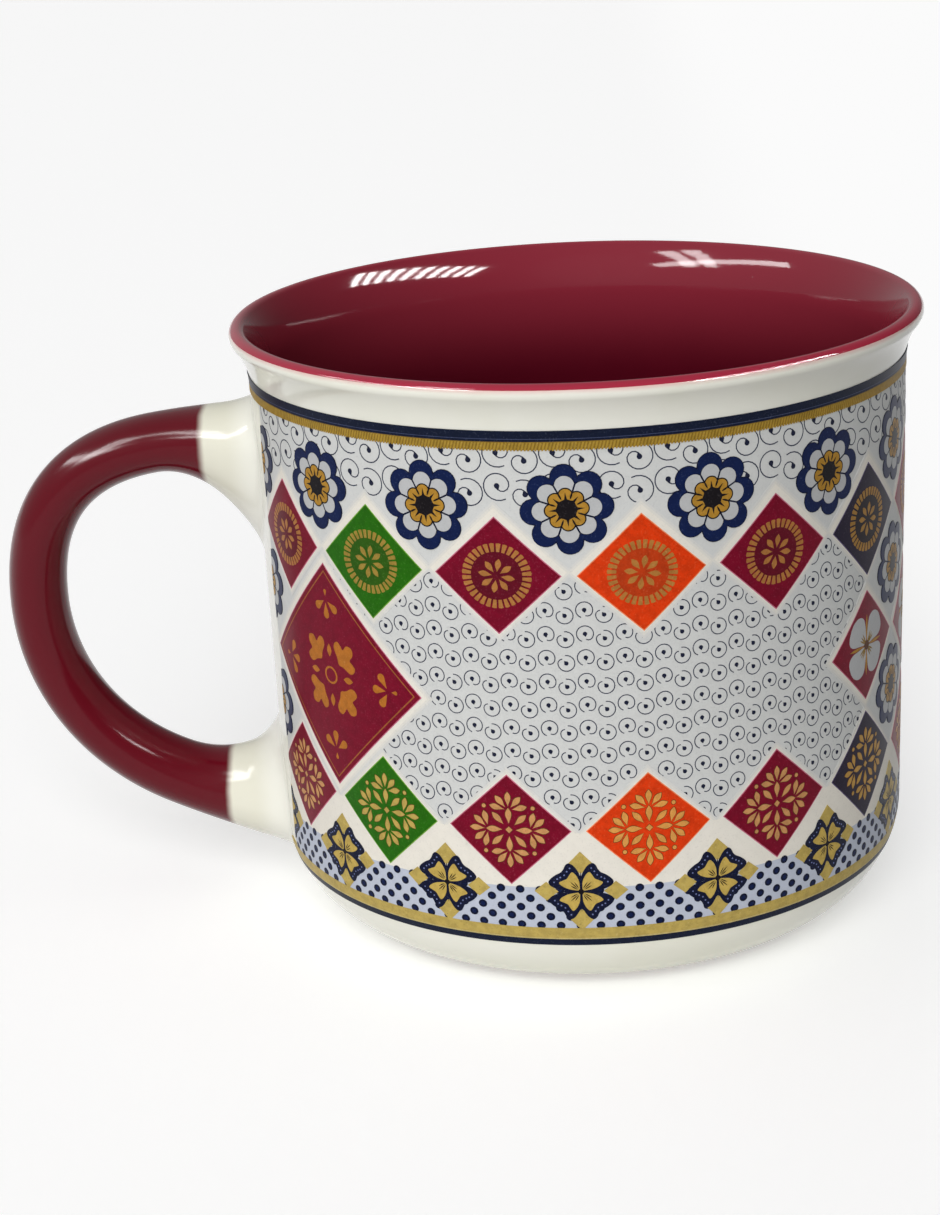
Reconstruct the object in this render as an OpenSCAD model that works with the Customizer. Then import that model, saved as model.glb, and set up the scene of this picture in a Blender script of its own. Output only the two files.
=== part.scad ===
// Glazed mug: a nearly straight cup with a flared lip, a luted loop handle and a fired print
// round its wall. Sizes are in millimetres and angles in degrees.
// The table is at z = 0, the cup's axis is Z and the handle lies along -X.

/* [Cup] */
// Height from the table to the top of the lip
cup_h = 91.5; // [80:0.5:110]
// Diameter over the lip
lip_d = 102; // [80:0.5:120]
// Thickness of the rounded lip
lip_t = 2.6; // [2:0.1:3.6]
// Radius of the hollow under the lip
cove_r = 10; // [8:0.5:14]
// How far the lip stands out from the wall under the hollow
lip_flare = 2.6; // [1:0.1:4]
// How far the wall draws in from there to the bottom corner
wall_draft = 0.7; // [0.2:0.1:3]
// Thickness of the wall above the bottom corner
wall_base_t = 4; // [3:0.1:6]
// Radius of the bottom corner outside
corner_r = 15; // [10:0.5:18]
// Radius of the bottom corner inside
inner_corner_r = 11; // [6:0.5:14]
// Thickness of the floor
floor_t = 5; // [4:0.1:8]

/* [Foot] */
// Height of the lower edge of the glaze above the table
foot_h = 1; // [0.8:0.1:2]
// Step from the lower edge of the glaze in to the foot ring
foot_step = 1.6; // [1:0.1:3]
// Width of the foot ring
foot_w = 4; // [3:0.5:8]
// Depth of the recess under the base
recess_h = 2; // [1.5:0.1:3]

/* [Glaze] */
// Thickness of the fired glaze
glaze_t = 0.4; // [0.2:0.05:0.6]
// Angle up the outside of the lip at which the liner glaze ends
liner_edge_a = 30; // [0:5:80]

/* [Handle] */
// Depth of the upper joint's centre under the top of the lip
upper_joint_drop = 19.5; // [18:0.5:24]
// Height of the lower joint's centre above the table
lower_joint_rise = 16; // [15:0.5:22]
// Distance from the wall to the handle's centre line where it is furthest out
handle_reach = 35.5; // [28:0.5:44]
// Width of the handle across its plane
handle_w = 12; // [9:0.5:16]
// Thickness of the grip in its plane
grip_t = 8.7; // [7:0.1:11]
// Thickness of the handle at its upper end, without the spread
upper_root_t = 9.2; // [8:0.1:12]
// Thickness of the handle at its lower end, without the spread
lower_root_t = 11.3; // [8:0.1:12]
// Length over which each end spreads towards the wall
root_spread_l = 16; // [10:0.5:20]
// Spread of the upper end into the loop
upper_spread_in = 8.5; // [4:0.1:10]
// Spread of the upper end out of the loop
upper_spread_out = 1.6; // [0.5:0.1:3]
// Spread of the lower end into the loop
lower_spread_in = 4.8; // [3:0.1:8]
// Spread of the lower end out of the loop
lower_spread_out = 2.2; // [0.5:0.1:3]
// Spread of each end to either side
side_spread = 4; // [2:0.1:6]
// Thickness of the slip between the handle and the wall
slip_t = 0.6; // [0.5:0.05:1]
// Distance from the wall at which the grip's own glaze starts
grip_glaze_start = 8.6; // [6:0.1:14]

/* [Print] */
// Thickness of the fired print
print_t = 0.2; // [0.1:0.01:0.3]
// Depth of the upper navy line's top edge under the top of the lip
upper_line_drop = 6.6; // [6:0.1:9]
// Width of the upper navy line
upper_navy_w = 1.5; // [1:0.1:2.5]
// Width of the upper gold line
upper_gold_w = 1.1; // [0.8:0.1:2.5]
// Height of the lower navy line's lower edge above the table
lower_line_rise = 9.9; // [6:0.1:12]
// Width of the lower navy line
lower_navy_w = 1.2; // [0.8:0.1:2.5]
// Width of the lower gold line
lower_gold_w = 1.8; // [0.8:0.1:2.5]
// Angle left without print on either side of the handle
bare_a = 19.5; // [16:0.5:30]

/* [Hidden] */

// Colours
clay_colour = "wheat";
ivory_colour = "ivory";
burgundy_colour = [0.40, 0.07, 0.13];
navy_colour = [0.13, 0.17, 0.36];
gold_colour = [0.65, 0.51, 0.20];
print_colour = [0.87, 0.88, 0.92];

// Facets round the cup in a preview
$fn = 144;
// Steps along each arc of the cup's outline
arc_steps = 12;
// Sides of the handle's section
handle_sides = 20;
// Rings along each half of the handle
half_rings = 20;
// Halvings in the search for a place along the handle
search_steps = 24;
// Depth of the handle's ends behind the wall's surface, where the wall trims them
root_sink = 4;
// Control points of the handle's centre line, from the upper joint to the lower one,
// as shares of its reach and of the height between the joints
handle_path_shares = [[0, 1], [0.535, 1.07], [1, 1], [1, 0.59], [1, 0.245], [0.59, -0.02], [0, 0]];

// The cup's outline in the plane of radius and height
lip_r = lip_t / 2;
rim_r = lip_d / 2;
throat_r = rim_r - lip_flare;
base_r = throat_r - wall_draft;
flare_a = acos(1 - lip_flare / (cove_r + lip_r));
lip_c = [rim_r - lip_r, cup_h - lip_r];
cove_c = lip_c + (cove_r + lip_r) * [cos(flare_a), -sin(flare_a)];
corner_c = [base_r - corner_r, corner_r];
wall_lean = atan(wall_draft / (cove_c.y - corner_c.y));
foot_a = -asin((corner_c.y - foot_h) / corner_r);
floor_z = recess_h + floor_t;
inner_base_r = base_r - wall_base_t;
inner_cove_r = cove_r + lip_t;
inner_corner_c = [inner_base_r - inner_corner_r, floor_z + inner_corner_r];
inner_lean = atan((cove_c.x - inner_cove_r - inner_base_r) / (cove_c.y - inner_corner_c.y));
foot_out_r = corner_c.x + corner_r * cos(foot_a) - foot_step;
foot_in_r = foot_out_r - foot_w;

// Heights of the printed lines
upper_navy_top = cup_h - upper_line_drop;
upper_gold_top = upper_navy_top - upper_navy_w;
print_top = upper_gold_top - upper_gold_w;
lower_gold_base = lower_line_rise + lower_navy_w;
print_base = lower_gold_base + lower_gold_w;

// The handle's centre line
root_r = throat_r - root_sink;
joint_span = cup_h - upper_joint_drop - lower_joint_rise;
path_reach = throat_r + handle_reach - root_r;
path_points = [
    for (s = handle_path_shares) [root_r + s.x * path_reach, lower_joint_rise + s.y * joint_span]
];
upper_half = [for (i = [0 : 3]) path_points[i]];
lower_half = [for (i = [3 : 6]) path_points[i]];

// Points along an arc about centre c
function arc(c, r, from_a, to_a) = [
    for (i = [0 : arc_steps])
        let (a = from_a + (to_a - from_a) * i / arc_steps)
        c + r * [cos(a), sin(a)]
];

function tail(list) = [for (i = [1 : len(list) - 1]) list[i]];

function reverse(list) = [for (i = [len(list) - 1 : -1 : 0]) list[i]];

// Outside of the cup from the foot up to the liner's edge, a depth of skin under the finished surface
function outer_line(skin) = concat(
    arc(corner_c, corner_r - skin, foot_a, -wall_lean),
    arc(cove_c, cove_r + skin, 180 - wall_lean, 180 - flare_a),
    tail(arc(lip_c, lip_r - skin, -flare_a, liner_edge_a))
);

// Inside of the cup from the liner's edge down to the middle of the floor, under the same skin
function inner_line(skin) = concat(
    arc(lip_c, lip_r - skin, liner_edge_a, 180 - flare_a),
    tail(arc(cove_c, inner_cove_r - skin, 180 - flare_a, 180 - inner_lean)),
    arc(inner_corner_c, inner_corner_r + skin, -inner_lean, -90),
    [[0, floor_z - skin]]
);

// Half-outline of the cup filled to its axis
function filled_outline(skin) =
    let (line = outer_line(skin))
    concat([[0, line[0].y]], line, [[0, line[len(line) - 1].y]]);

// Place and direction on a cubic curve with control points p
function cubic(p, t) =
    pow(1 - t, 3) * p[0] + 3 * t * pow(1 - t, 2) * p[1] + 3 * t * t * (1 - t) * p[2] + pow(t, 3) * p[3];

function cubic_direction(p, t) =
    let (d = pow(1 - t, 2) * (p[1] - p[0]) + 2 * t * (1 - t) * (p[2] - p[1]) + t * t * (p[3] - p[2]))
    d / norm(d);

// Centre line of the handle: u runs from 0 at the upper end to 2 at the lower end
function centre(u) = u < 1 ? cubic(upper_half, u) : cubic(lower_half, u - 1);

function direction(u) = u < 1 ? cubic_direction(upper_half, u) : cubic_direction(lower_half, u - 1);

// Thickness of the handle without its spread
function plain_t(u) = grip_t + pow(1 - u, 2) * ((u < 1 ? upper_root_t : lower_root_t) - grip_t);

// Part of the full spread that an end has reached, from 0 on the grip to 1 at the wall
function spread(u) = pow(1 - min(1, max(0, centre(u).x - throat_r) / root_spread_l), 2);

// One ring of the handle, a depth of skin under its finished surface
function ring(u, skin) =
    let (
        c = centre(u),
        d = direction(u),
        out_t = plain_t(u) / 2 + spread(u) * (u < 1 ? upper_spread_out : lower_spread_out) - skin,
        in_t = plain_t(u) / 2 + spread(u) * (u < 1 ? upper_spread_in : lower_spread_in) - skin,
        half_w = handle_w / 2 + spread(u) * side_spread - skin
    )
    [
        for (k = [0 : handle_sides - 1])
            let (a = 360 * k / handle_sides, t = cos(a) * (cos(a) > 0 ? out_t : in_t))
            [d.y * t - c.x, half_w * sin(a), c.y + d.x * t]
    ];

// Rings along a length of the handle
function rings(from_u, to_u, skin) =
    let (count = ceil((to_u - from_u) * half_rings))
    [for (i = [0 : count]) ring(from_u + (to_u - from_u) * i / count, skin)];

function flatten(list) = [for (row = list) each row];

// Triangles between rings of points, where first is the number of the first point
function side_faces(ring_count, first, outwards) = [
    for (i = [0 : ring_count - 2], k = [0 : handle_sides - 1])
        let (
            next = (k + 1) % handle_sides,
            a = first + i * handle_sides + k,
            b = first + i * handle_sides + next,
            c = a + handle_sides,
            d = b + handle_sides
        )
        each (outwards ? [[a, d, b], [a, c, d]] : [[a, b, d], [a, d, c]])
];

// Triangles between an outer and an inner ring at one end of a sleeve
function rim_faces(outer_first, inner_first, outwards) = [
    for (k = [0 : handle_sides - 1])
        let (
            next = (k + 1) % handle_sides,
            a = outer_first + k,
            b = outer_first + next,
            c = inner_first + k,
            d = inner_first + next
        )
        each (outwards ? [[a, b, d], [a, d, c]] : [[a, d, b], [a, c, d]])
];

// Place along the handle at which its centre line is r from the cup's axis
function search_u(r, near_u, far_u, steps = search_steps) =
    let (u = (near_u + far_u) / 2)
    steps == 0 ? u
    : centre(u).x < r ? search_u(r, u, far_u, steps - 1)
    : search_u(r, near_u, u, steps - 1);

grip_start_u = search_u(throat_r + grip_glaze_start, 0, 1);
grip_end_u = search_u(throat_r + grip_glaze_start, 2, 1);

// Solid of the handle through a list of rings
module handle_solid(layers) {
    last = (len(layers) - 1) * handle_sides;
    polyhedron(
        flatten(layers),
        concat(
            [[for (k = [0 : handle_sides - 1]) k]],
            side_faces(len(layers), 0, true),
            [[for (k = [handle_sides - 1 : -1 : 0]) last + k]]
        )
    );
}

module upper_root(skin) {
    handle_solid(rings(0, grip_start_u, skin));
}

module lower_root(skin) {
    handle_solid(rings(grip_end_u, 2, skin));
}

// Coat of glaze on a length of the handle
module handle_coat(from_u, to_u) {
    outer = rings(from_u, to_u, 0);
    inner = rings(from_u, to_u, glaze_t);
    inner_first = len(outer) * handle_sides;
    last = inner_first - handle_sides;
    polyhedron(
        concat(flatten(outer), flatten(inner)),
        concat(
            side_faces(len(outer), 0, true),
            side_faces(len(inner), inner_first, false),
            rim_faces(0, inner_first, true),
            rim_faces(last, inner_first + last, false)
        )
    );
}

// The cup as a filled solid, a depth of skin under its finished surface
module filled_cup(skin) {
    rotate_extrude() polygon(filled_outline(skin));
}

// Layer of slip on the clay wall, before it is cut to a joint
module slip_layer() {
    rotate_extrude() polygon(concat(outer_line(glaze_t - slip_t), reverse(outer_line(glaze_t))));
}

// Outline of a print on the wall between two heights
module print_outline(low_z, high_z) {
    intersection() {
        difference() {
            polygon(filled_outline(-print_t));
            polygon(filled_outline(0));
        }
        translate([0, low_z]) square([rim_r, high_z - low_z]);
    }
}

module printed_line(low_z, high_z) {
    difference() {
        rotate_extrude() print_outline(low_z, high_z);
        upper_root(0);
        lower_root(0);
    }
}

module cup_body() {
    clay = outer_line(glaze_t);
    color(clay_colour) rotate_extrude() polygon(concat(
        clay,
        tail(inner_line(glaze_t)),
        [
            [0, recess_h + glaze_t],
            [foot_in_r, recess_h + glaze_t],
            [foot_in_r, 0],
            [foot_out_r, 0],
            [foot_out_r, clay[0].y]
        ]
    ));
}

module handle_core() {
    color(clay_colour) difference() {
        handle_solid(concat(
            rings(0, grip_start_u, glaze_t),
            tail(rings(grip_start_u, grip_end_u, glaze_t)),
            tail(rings(grip_end_u, 2, glaze_t))
        ));
        filled_cup(glaze_t - slip_t);
    }
}

module upper_slip_joint() {
    color(clay_colour) intersection() {
        slip_layer();
        upper_root(glaze_t);
    }
}

module lower_slip_joint() {
    color(clay_colour) intersection() {
        slip_layer();
        lower_root(glaze_t);
    }
}

module liner_glaze() {
    color(burgundy_colour) rotate_extrude() polygon(concat(inner_line(0), reverse(inner_line(glaze_t))));
}

module wall_glaze() {
    color(ivory_colour) difference() {
        rotate_extrude() polygon(concat(outer_line(0), reverse(outer_line(glaze_t))));
        upper_root(0);
        lower_root(0);
    }
}

module base_glaze() {
    color(ivory_colour) translate([0, 0, recess_h]) cylinder(r = foot_in_r, h = glaze_t);
}

module upper_root_glaze() {
    color(ivory_colour) difference() {
        handle_coat(0, grip_start_u);
        filled_cup(glaze_t);
    }
}

module grip_glaze() {
    color(burgundy_colour) handle_coat(grip_start_u, grip_end_u);
}

module lower_root_glaze() {
    color(ivory_colour) difference() {
        handle_coat(grip_end_u, 2);
        filled_cup(glaze_t);
    }
}

module upper_navy_line() {
    color(navy_colour) printed_line(upper_gold_top, upper_navy_top);
}

module upper_gold_line() {
    color(gold_colour) printed_line(print_top, upper_gold_top);
}

module print_sheet() {
    color(print_colour) difference() {
        rotate_extrude() print_outline(print_base, print_top);
        rotate([0, 0, 180 - bare_a]) rotate_extrude(angle = 2 * bare_a) square([rim_r, cup_h]);
    }
}

module lower_gold_line() {
    color(gold_colour) printed_line(lower_gold_base, print_base);
}

module lower_navy_line() {
    color(navy_colour) printed_line(lower_line_rise, lower_gold_base);
}

cup_body();
handle_core();
upper_slip_joint();
lower_slip_joint();
liner_glaze();
wall_glaze();
base_glaze();
upper_root_glaze();
grip_glaze();
lower_root_glaze();
upper_navy_line();
upper_gold_line();
print_sheet();
lower_gold_line();
lower_navy_line();
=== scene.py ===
"""Looks of a glazed ceramic mug: turned glazes, a luted loop handle and a fired wrap-round print.

Sizes are in millimetres and angles in degrees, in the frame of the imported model: Z up, the handle along -X
and the foot on z = 0. Round the wall, an angle of 0 faces -Y and a positive one lies towards +X. Meshes are
written in metres.
"""

import logging
import math
from dataclasses import dataclass, field
from enum import Enum
from typing import Any, Iterable, Sequence

import bmesh
import bpy
import numpy as np
from mathutils import Matrix, Vector


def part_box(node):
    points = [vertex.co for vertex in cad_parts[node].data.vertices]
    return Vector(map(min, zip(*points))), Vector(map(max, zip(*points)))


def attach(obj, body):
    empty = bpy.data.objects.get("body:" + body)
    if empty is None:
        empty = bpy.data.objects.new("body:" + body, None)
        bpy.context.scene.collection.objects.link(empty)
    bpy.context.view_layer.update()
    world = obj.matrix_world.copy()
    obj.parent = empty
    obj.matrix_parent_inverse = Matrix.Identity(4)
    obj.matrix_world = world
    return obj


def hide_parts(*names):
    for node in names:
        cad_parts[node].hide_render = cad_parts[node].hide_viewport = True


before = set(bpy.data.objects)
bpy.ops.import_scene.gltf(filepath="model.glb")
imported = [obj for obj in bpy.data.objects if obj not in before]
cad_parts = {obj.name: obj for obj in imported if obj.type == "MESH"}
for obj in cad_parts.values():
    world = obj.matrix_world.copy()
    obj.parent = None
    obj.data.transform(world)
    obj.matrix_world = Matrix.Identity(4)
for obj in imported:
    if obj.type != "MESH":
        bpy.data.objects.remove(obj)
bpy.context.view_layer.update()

MM = 0.001
BODY = "root"
IMAGE_W = 940
IMAGE_H = 1215

Point = tuple[float, float]
Loop = tuple[Point, ...]
Rgb = tuple[int, int, int]

log = logging.getLogger("mug")


def linear(rgb: Rgb) -> tuple[float, float, float, float]:
    """Turns a screen colour into the linear colour that a shader takes.

    Args:
        rgb: red, green and blue from 0 to 255.

    Returns:
        The linear colour with an alpha of 1.
    """
    shares = [c / 255 for c in rgb]
    red, green, blue = (c / 12.92 if c <= 0.04045 else ((c + 0.055) / 1.055) ** 2.4 for c in shares)
    return (red, green, blue, 1.0)


class Ink(Enum):
    """Colours of the fired print."""

    GROUND = (208, 209, 207)
    HALO = (214, 213, 209)
    MARGIN_EDGE = (222, 219, 211)
    MARGIN = (231, 226, 215)
    PETAL = (186, 187, 188)
    LILAC = (187, 193, 207)
    NAVY = (16, 30, 72)
    SLATE = (62, 70, 100)
    DEEP_NAVY = (15, 20, 46)
    LINE_NAVY = (18, 26, 48)
    CURL = (30, 34, 56)
    CURL_LINE = (45, 50, 72)
    SOOT = (22, 18, 22)
    GOLD = (180, 134, 50)
    AMBER = (184, 112, 40)
    OLIVE_GOLD = (196, 168, 86)
    OCHRE = (140, 110, 40)
    BRIGHT_GOLD = (170, 138, 54)
    BRASS = (190, 166, 90)
    PALE_GOLD = (200, 182, 122)
    BRONZE = (158, 92, 48)
    UMBER = (84, 48, 22)
    CRIMSON = (120, 10, 38)
    DARK_CRIMSON = (97, 14, 32)
    CRIMSON_FRINGE = (202, 110, 136)
    GREEN = (36, 102, 9)
    DARK_GREEN = (44, 88, 14)
    GREEN_FRINGE = (120, 172, 60)
    ORANGE = (222, 60, 14)
    DARK_ORANGE = (188, 60, 20)
    ORANGE_FRINGE = (246, 146, 96)
    PLUM = (28, 18, 42)
    DARK_PLUM = (24, 14, 24)
    PLUM_FRINGE = (92, 78, 118)
    PERIWINKLE = (120, 132, 184)
    CRIMSON_RING = (175, 117, 61)
    CRIMSON_SPRAY = (203, 148, 94)
    GREEN_RING = (158, 131, 56)
    GREEN_SPRAY = (190, 163, 84)
    ORANGE_RING = (179, 121, 58)
    ORANGE_SPRAY = (220, 155, 78)
    PLUM_RING = (168, 124, 56)
    PLUM_SPRAY = (194, 150, 74)

    @property
    def is_pale(self) -> bool:
        """Whether the ink is one of the whites, whose film hardly shows."""
        return min(self.value) > 180


class Layer(Enum):
    """Order in which the inks lie on each other, from the ground of the print up."""

    GROUND = 0
    FIELD = 1
    COMMA = 2
    HALO = 3
    EDGE = 4
    MARGIN = 5
    BAND = 6
    FRINGE = 7
    BLOCK = 8
    FIGURE = 9
    DETAIL = 10
    ACCENT = 11
    RIM = 12
    RING = 13
    HEART = 14


class Hue(Enum):
    """Colours of the lozenges, each with a word for names and the inks of its parts."""

    CRIMSON = (
        "crimson", Ink.CRIMSON, Ink.DARK_CRIMSON, Ink.CRIMSON_FRINGE, Ink.CRIMSON_RING, Ink.CRIMSON_SPRAY,
    )
    GREEN = (
        "green", Ink.GREEN, Ink.DARK_GREEN, Ink.GREEN_FRINGE, Ink.GREEN_RING, Ink.GREEN_SPRAY,
    )
    ORANGE = (
        "orange", Ink.ORANGE, Ink.DARK_ORANGE, Ink.ORANGE_FRINGE, Ink.ORANGE_RING, Ink.ORANGE_SPRAY,
    )
    PLUM = (
        "plum", Ink.PLUM, Ink.DARK_PLUM, Ink.PLUM_FRINGE, Ink.PLUM_RING, Ink.PLUM_SPRAY,
    )

    def __init__(self, label: str, ink: Ink, disc: Ink, fringe: Ink, ring: Ink, spray: Ink) -> None:
        """Keeps the hue's inks.

        Args:
            label: word for the hue in a piece's name.
            ink: the lozenge's field.
            disc: the disc inside the lozenge's ring.
            fringe: what bled out along the lozenge's edge.
            ring: gold of the ring and its rosette.
            spray: gold of the sprays.
        """
        self.label = label
        self.ink = ink
        self.disc = disc
        self.fringe = fringe
        self.ring = ring
        self.spray = spray


HUE_CYCLE = (Hue.ORANGE, Hue.CRIMSON, Hue.PLUM, Hue.CRIMSON, Hue.GREEN, Hue.CRIMSON)


@dataclass
class TreeWriter:
    """Writes the nodes and links of one node tree."""

    tree: bpy.types.NodeTree

    def add(self, kind: str, inputs: dict[Any, Any] | None = None, **settings: Any) -> bpy.types.Node:
        """Adds a node.

        Args:
            kind: the node's type.
            inputs: values or sockets for its inputs, by name or number.
            settings: the node's own settings.

        Returns:
            The new node.
        """
        node = self.tree.nodes.new(kind)
        for name, value in settings.items():
            setattr(node, name, value)
        for key, value in (inputs or {}).items():
            self.feed(node.inputs[key], value)
        return node

    def feed(self, socket: bpy.types.NodeSocket, value: Any) -> None:
        """Links a socket to an input, or sets the input's own value.

        Args:
            socket: the input.
            value: a socket to link from, or a plain value.
        """
        if isinstance(value, bpy.types.NodeSocket):
            self.tree.links.new(value, socket)
        else:
            socket.default_value = value

    def math(self, operation: str, *values: Any, clamp: bool = False) -> bpy.types.NodeSocket:
        """Adds a math node.

        Args:
            operation: the math node's operation.
            values: its one to three values or sockets.
            clamp: whether the result is kept from 0 to 1.

        Returns:
            The result's socket.
        """
        inputs = dict(enumerate(values))
        return self.add("ShaderNodeMath", inputs, operation=operation, use_clamp=clamp).outputs[0]

    def mix(self, share: Any, first: Any, second: Any) -> bpy.types.NodeSocket:
        """Mixes two colours.

        Args:
            share: how much of the second colour shows.
            first: colour at a share of 0.
            second: colour at a share of 1.

        Returns:
            The mixed colour's socket.
        """
        node = self.add("ShaderNodeMix", data_type="RGBA")
        self.feed(node.inputs[0], share)
        self.feed(node.inputs[6], first)
        self.feed(node.inputs[7], second)
        return node.outputs[2]

    def smooth_step(self, value: Any, low: Any, high: Any) -> bpy.types.NodeSocket:
        """Maps a value to a soft step from 0 at low to 1 at high.

        Args:
            value: the socket that is mapped.
            low: where the step starts.
            high: where it ends.

        Returns:
            The step's socket.
        """
        inputs = {"Value": value, "From Min": low, "From Max": high}
        return self.add("ShaderNodeMapRange", inputs, interpolation_type="SMOOTHSTEP").outputs[0]

    def noise(self, vector: Any, scale: Any, detail: float = 2.0) -> bpy.types.NodeSocket:
        """Adds a noise of the given scale.

        Args:
            vector: coordinates in metres.
            scale: cells to the metre.
            detail: octaves.

        Returns:
            The socket of a value about 0.5.
        """
        inputs = {"Vector": vector, "Scale": scale, "Detail": detail}
        return self.add("ShaderNodeTexNoise", inputs).outputs[0]


def new_group(
    name: str,
    kind: str,
    ins: Sequence[tuple[str, str, Any]],
    outs: Sequence[tuple[str, str]],
) -> TreeWriter:
    """Starts a node group with named inputs and outputs.

    Args:
        name: the group's name.
        kind: ShaderNodeTree or GeometryNodeTree.
        ins: name, socket type and default value of each input.
        outs: name and socket type of each output.

    Returns:
        A writer for the group's tree.
    """
    tree = bpy.data.node_groups.new(name, kind)
    for label, socket_type, default in ins:
        socket = tree.interface.new_socket(label, in_out="INPUT", socket_type=socket_type)
        if default is not None:
            socket.default_value = default
    for label, socket_type in outs:
        tree.interface.new_socket(label, in_out="OUTPUT", socket_type=socket_type)
    return TreeWriter(tree)


COLOUR = "NodeSocketColor"
NUMBER = "NodeSocketFloat"
GEOMETRY = "NodeSocketGeometry"
SURFACE = (("Color", COLOUR), ("Roughness", NUMBER), ("Height", NUMBER))


class ShaderGroups:
    """Effects that several materials share, each built once."""

    def __init__(self) -> None:
        """Builds the groups."""
        self.grain = self._fired_grain()
        self.glaze = self._glaze_body()
        self.edge = self._soft_edge()

    def _fired_grain(self) -> bpy.types.NodeTree:
        """Builds the speckle of a fired print: dark and pale specks, and an uneven film."""
        ins = [
            ("Ink", COLOUR, (0.5, 0.5, 0.5, 1.0)),
            ("Thin Ink", COLOUR, (0.6, 0.6, 0.6, 1.0)),
            ("Thick Ink", COLOUR, (0.4, 0.4, 0.4, 1.0)),
            ("Speck Scale", NUMBER, 3600.0),
            ("Film Scale", NUMBER, 900.0),
            ("Film", NUMBER, 0.45),
            ("Roughness", NUMBER, 0.3),
        ]
        w = new_group("Fired grain", "ShaderNodeTree", ins, SURFACE)
        source = w.add("NodeGroupInput").outputs
        place = w.add("ShaderNodeTexCoord").outputs["Object"]
        specks = w.noise(place, source["Speck Scale"], 3.0)
        film = w.noise(place, source["Film Scale"], 3.0)
        pale = w.smooth_step(specks, 0.56, 0.74)
        dark = w.smooth_step(specks, 0.46, 0.28)
        film_share = w.smooth_step(film, 0.35, 0.68)
        colour = w.mix(w.math("MULTIPLY", film_share, source["Film"]), source["Ink"], source["Thick Ink"])
        colour = w.mix(w.math("MULTIPLY", pale, 0.75), colour, source["Thin Ink"])
        colour = w.mix(w.math("MULTIPLY", dark, 0.60), colour, source["Thick Ink"])
        rough = w.math("MULTIPLY_ADD", specks, 0.12, w.math("SUBTRACT", source["Roughness"], 0.06))
        height = w.math("MULTIPLY_ADD", film, 0.6, w.math("MULTIPLY", specks, 0.25))
        w.add("NodeGroupOutput", {"Color": colour, "Roughness": rough, "Height": height})
        return w.tree

    def _glaze_body(self) -> bpy.types.NodeTree:
        """Builds the body of a fired glaze: slow mottling, pinholes and a faint ripple."""
        ins = [
            ("Glaze", COLOUR, (0.8, 0.8, 0.8, 1.0)),
            ("Pooled Glaze", COLOUR, (0.7, 0.7, 0.7, 1.0)),
            ("Mottle Scale", NUMBER, 60.0),
            ("Mottle", NUMBER, 0.5),
            ("Roughness", NUMBER, 0.1),
        ]
        w = new_group("Glaze body", "ShaderNodeTree", ins, SURFACE)
        source = w.add("NodeGroupInput").outputs
        place = w.add("ShaderNodeTexCoord").outputs["Object"]
        slow = w.noise(place, source["Mottle Scale"], 3.0)
        peel = w.noise(place, 700.0, 1.0)
        specks = w.noise(place, 2600.0, 2.0)
        pool = w.math("MULTIPLY", w.smooth_step(slow, 0.38, 0.70), source["Mottle"])
        colour = w.mix(pool, source["Glaze"], source["Pooled Glaze"])
        pinholes = w.smooth_step(specks, 0.76, 0.82)
        colour = w.mix(w.math("MULTIPLY", pinholes, 0.5), colour, source["Pooled Glaze"])
        rough = w.math("MULTIPLY_ADD", slow, 0.08, w.math("SUBTRACT", source["Roughness"], 0.04))
        height = w.math("MULTIPLY_ADD", peel, 0.2, slow)
        height = w.math("MULTIPLY_ADD", pinholes, -0.3, height)
        w.add("NodeGroupOutput", {"Color": colour, "Roughness": rough, "Height": height})
        return w.tree

    def _soft_edge(self) -> bpy.types.NodeTree:
        """Builds a mask for the wavering edge between two glazes."""
        ins = [("Measure", NUMBER, 0.0), ("Start", NUMBER, 0.0), ("End", NUMBER, 1.0), ("Waver", NUMBER, 0.0)]
        w = new_group("Soft glaze edge", "ShaderNodeTree", ins, [("Mask", NUMBER)])
        source = w.add("NodeGroupInput").outputs
        place = w.add("ShaderNodeTexCoord").outputs["Object"]
        wander = w.math("SUBTRACT", w.noise(place, 160.0, 2.0), 0.5)
        moved = w.math("MULTIPLY_ADD", wander, source["Waver"], source["Measure"])
        mask = w.smooth_step(moved, source["Start"], source["End"])
        w.add("NodeGroupOutput", {"Mask": mask})
        return w.tree


def shade(rgb: Rgb, factor: float) -> Rgb:
    """Returns a colour made darker, or paler where the factor is over 1."""
    return tuple(max(0, min(255, round(c * factor))) for c in rgb)


def wash(rgb: Rgb, share: float) -> Rgb:
    """Returns a colour mixed towards the pale ground by that share."""
    return tuple(round(c + (g - c) * share) for c, g in zip(rgb, Ink.MARGIN.value))


def new_material(name: str) -> tuple[bpy.types.Material, TreeWriter, bpy.types.Node]:
    """Starts a material with a Principled BSDF.

    Args:
        name: the material's name.

    Returns:
        The material, a writer for its tree and the BSDF node.
    """
    material = bpy.data.materials.new(name)
    material.use_nodes = True
    material.node_tree.nodes.clear()
    writer = TreeWriter(material.node_tree)
    shader = writer.add("ShaderNodeBsdfPrincipled")
    output = writer.add("ShaderNodeOutputMaterial")
    writer.feed(output.inputs["Surface"], shader.outputs[0])
    return material, writer, shader


def feed_surface(
    w: TreeWriter,
    shader: bpy.types.Node,
    body: bpy.types.Node,
    strength: float,
    depth: float,
) -> None:
    """Feeds a shader the roughness and the relief of a surface group.

    Args:
        w: writer of the material's tree.
        shader: the Principled BSDF.
        body: the group's node.
        strength: strength of the relief.
        depth: its depth.
    """
    relief = {"Height": body.outputs["Height"], "Strength": strength, "Distance": depth * MM}
    bump = w.add("ShaderNodeBump", relief)
    w.feed(shader.inputs["Roughness"], body.outputs["Roughness"])
    w.feed(shader.inputs["Normal"], bump.outputs[0])


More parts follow.
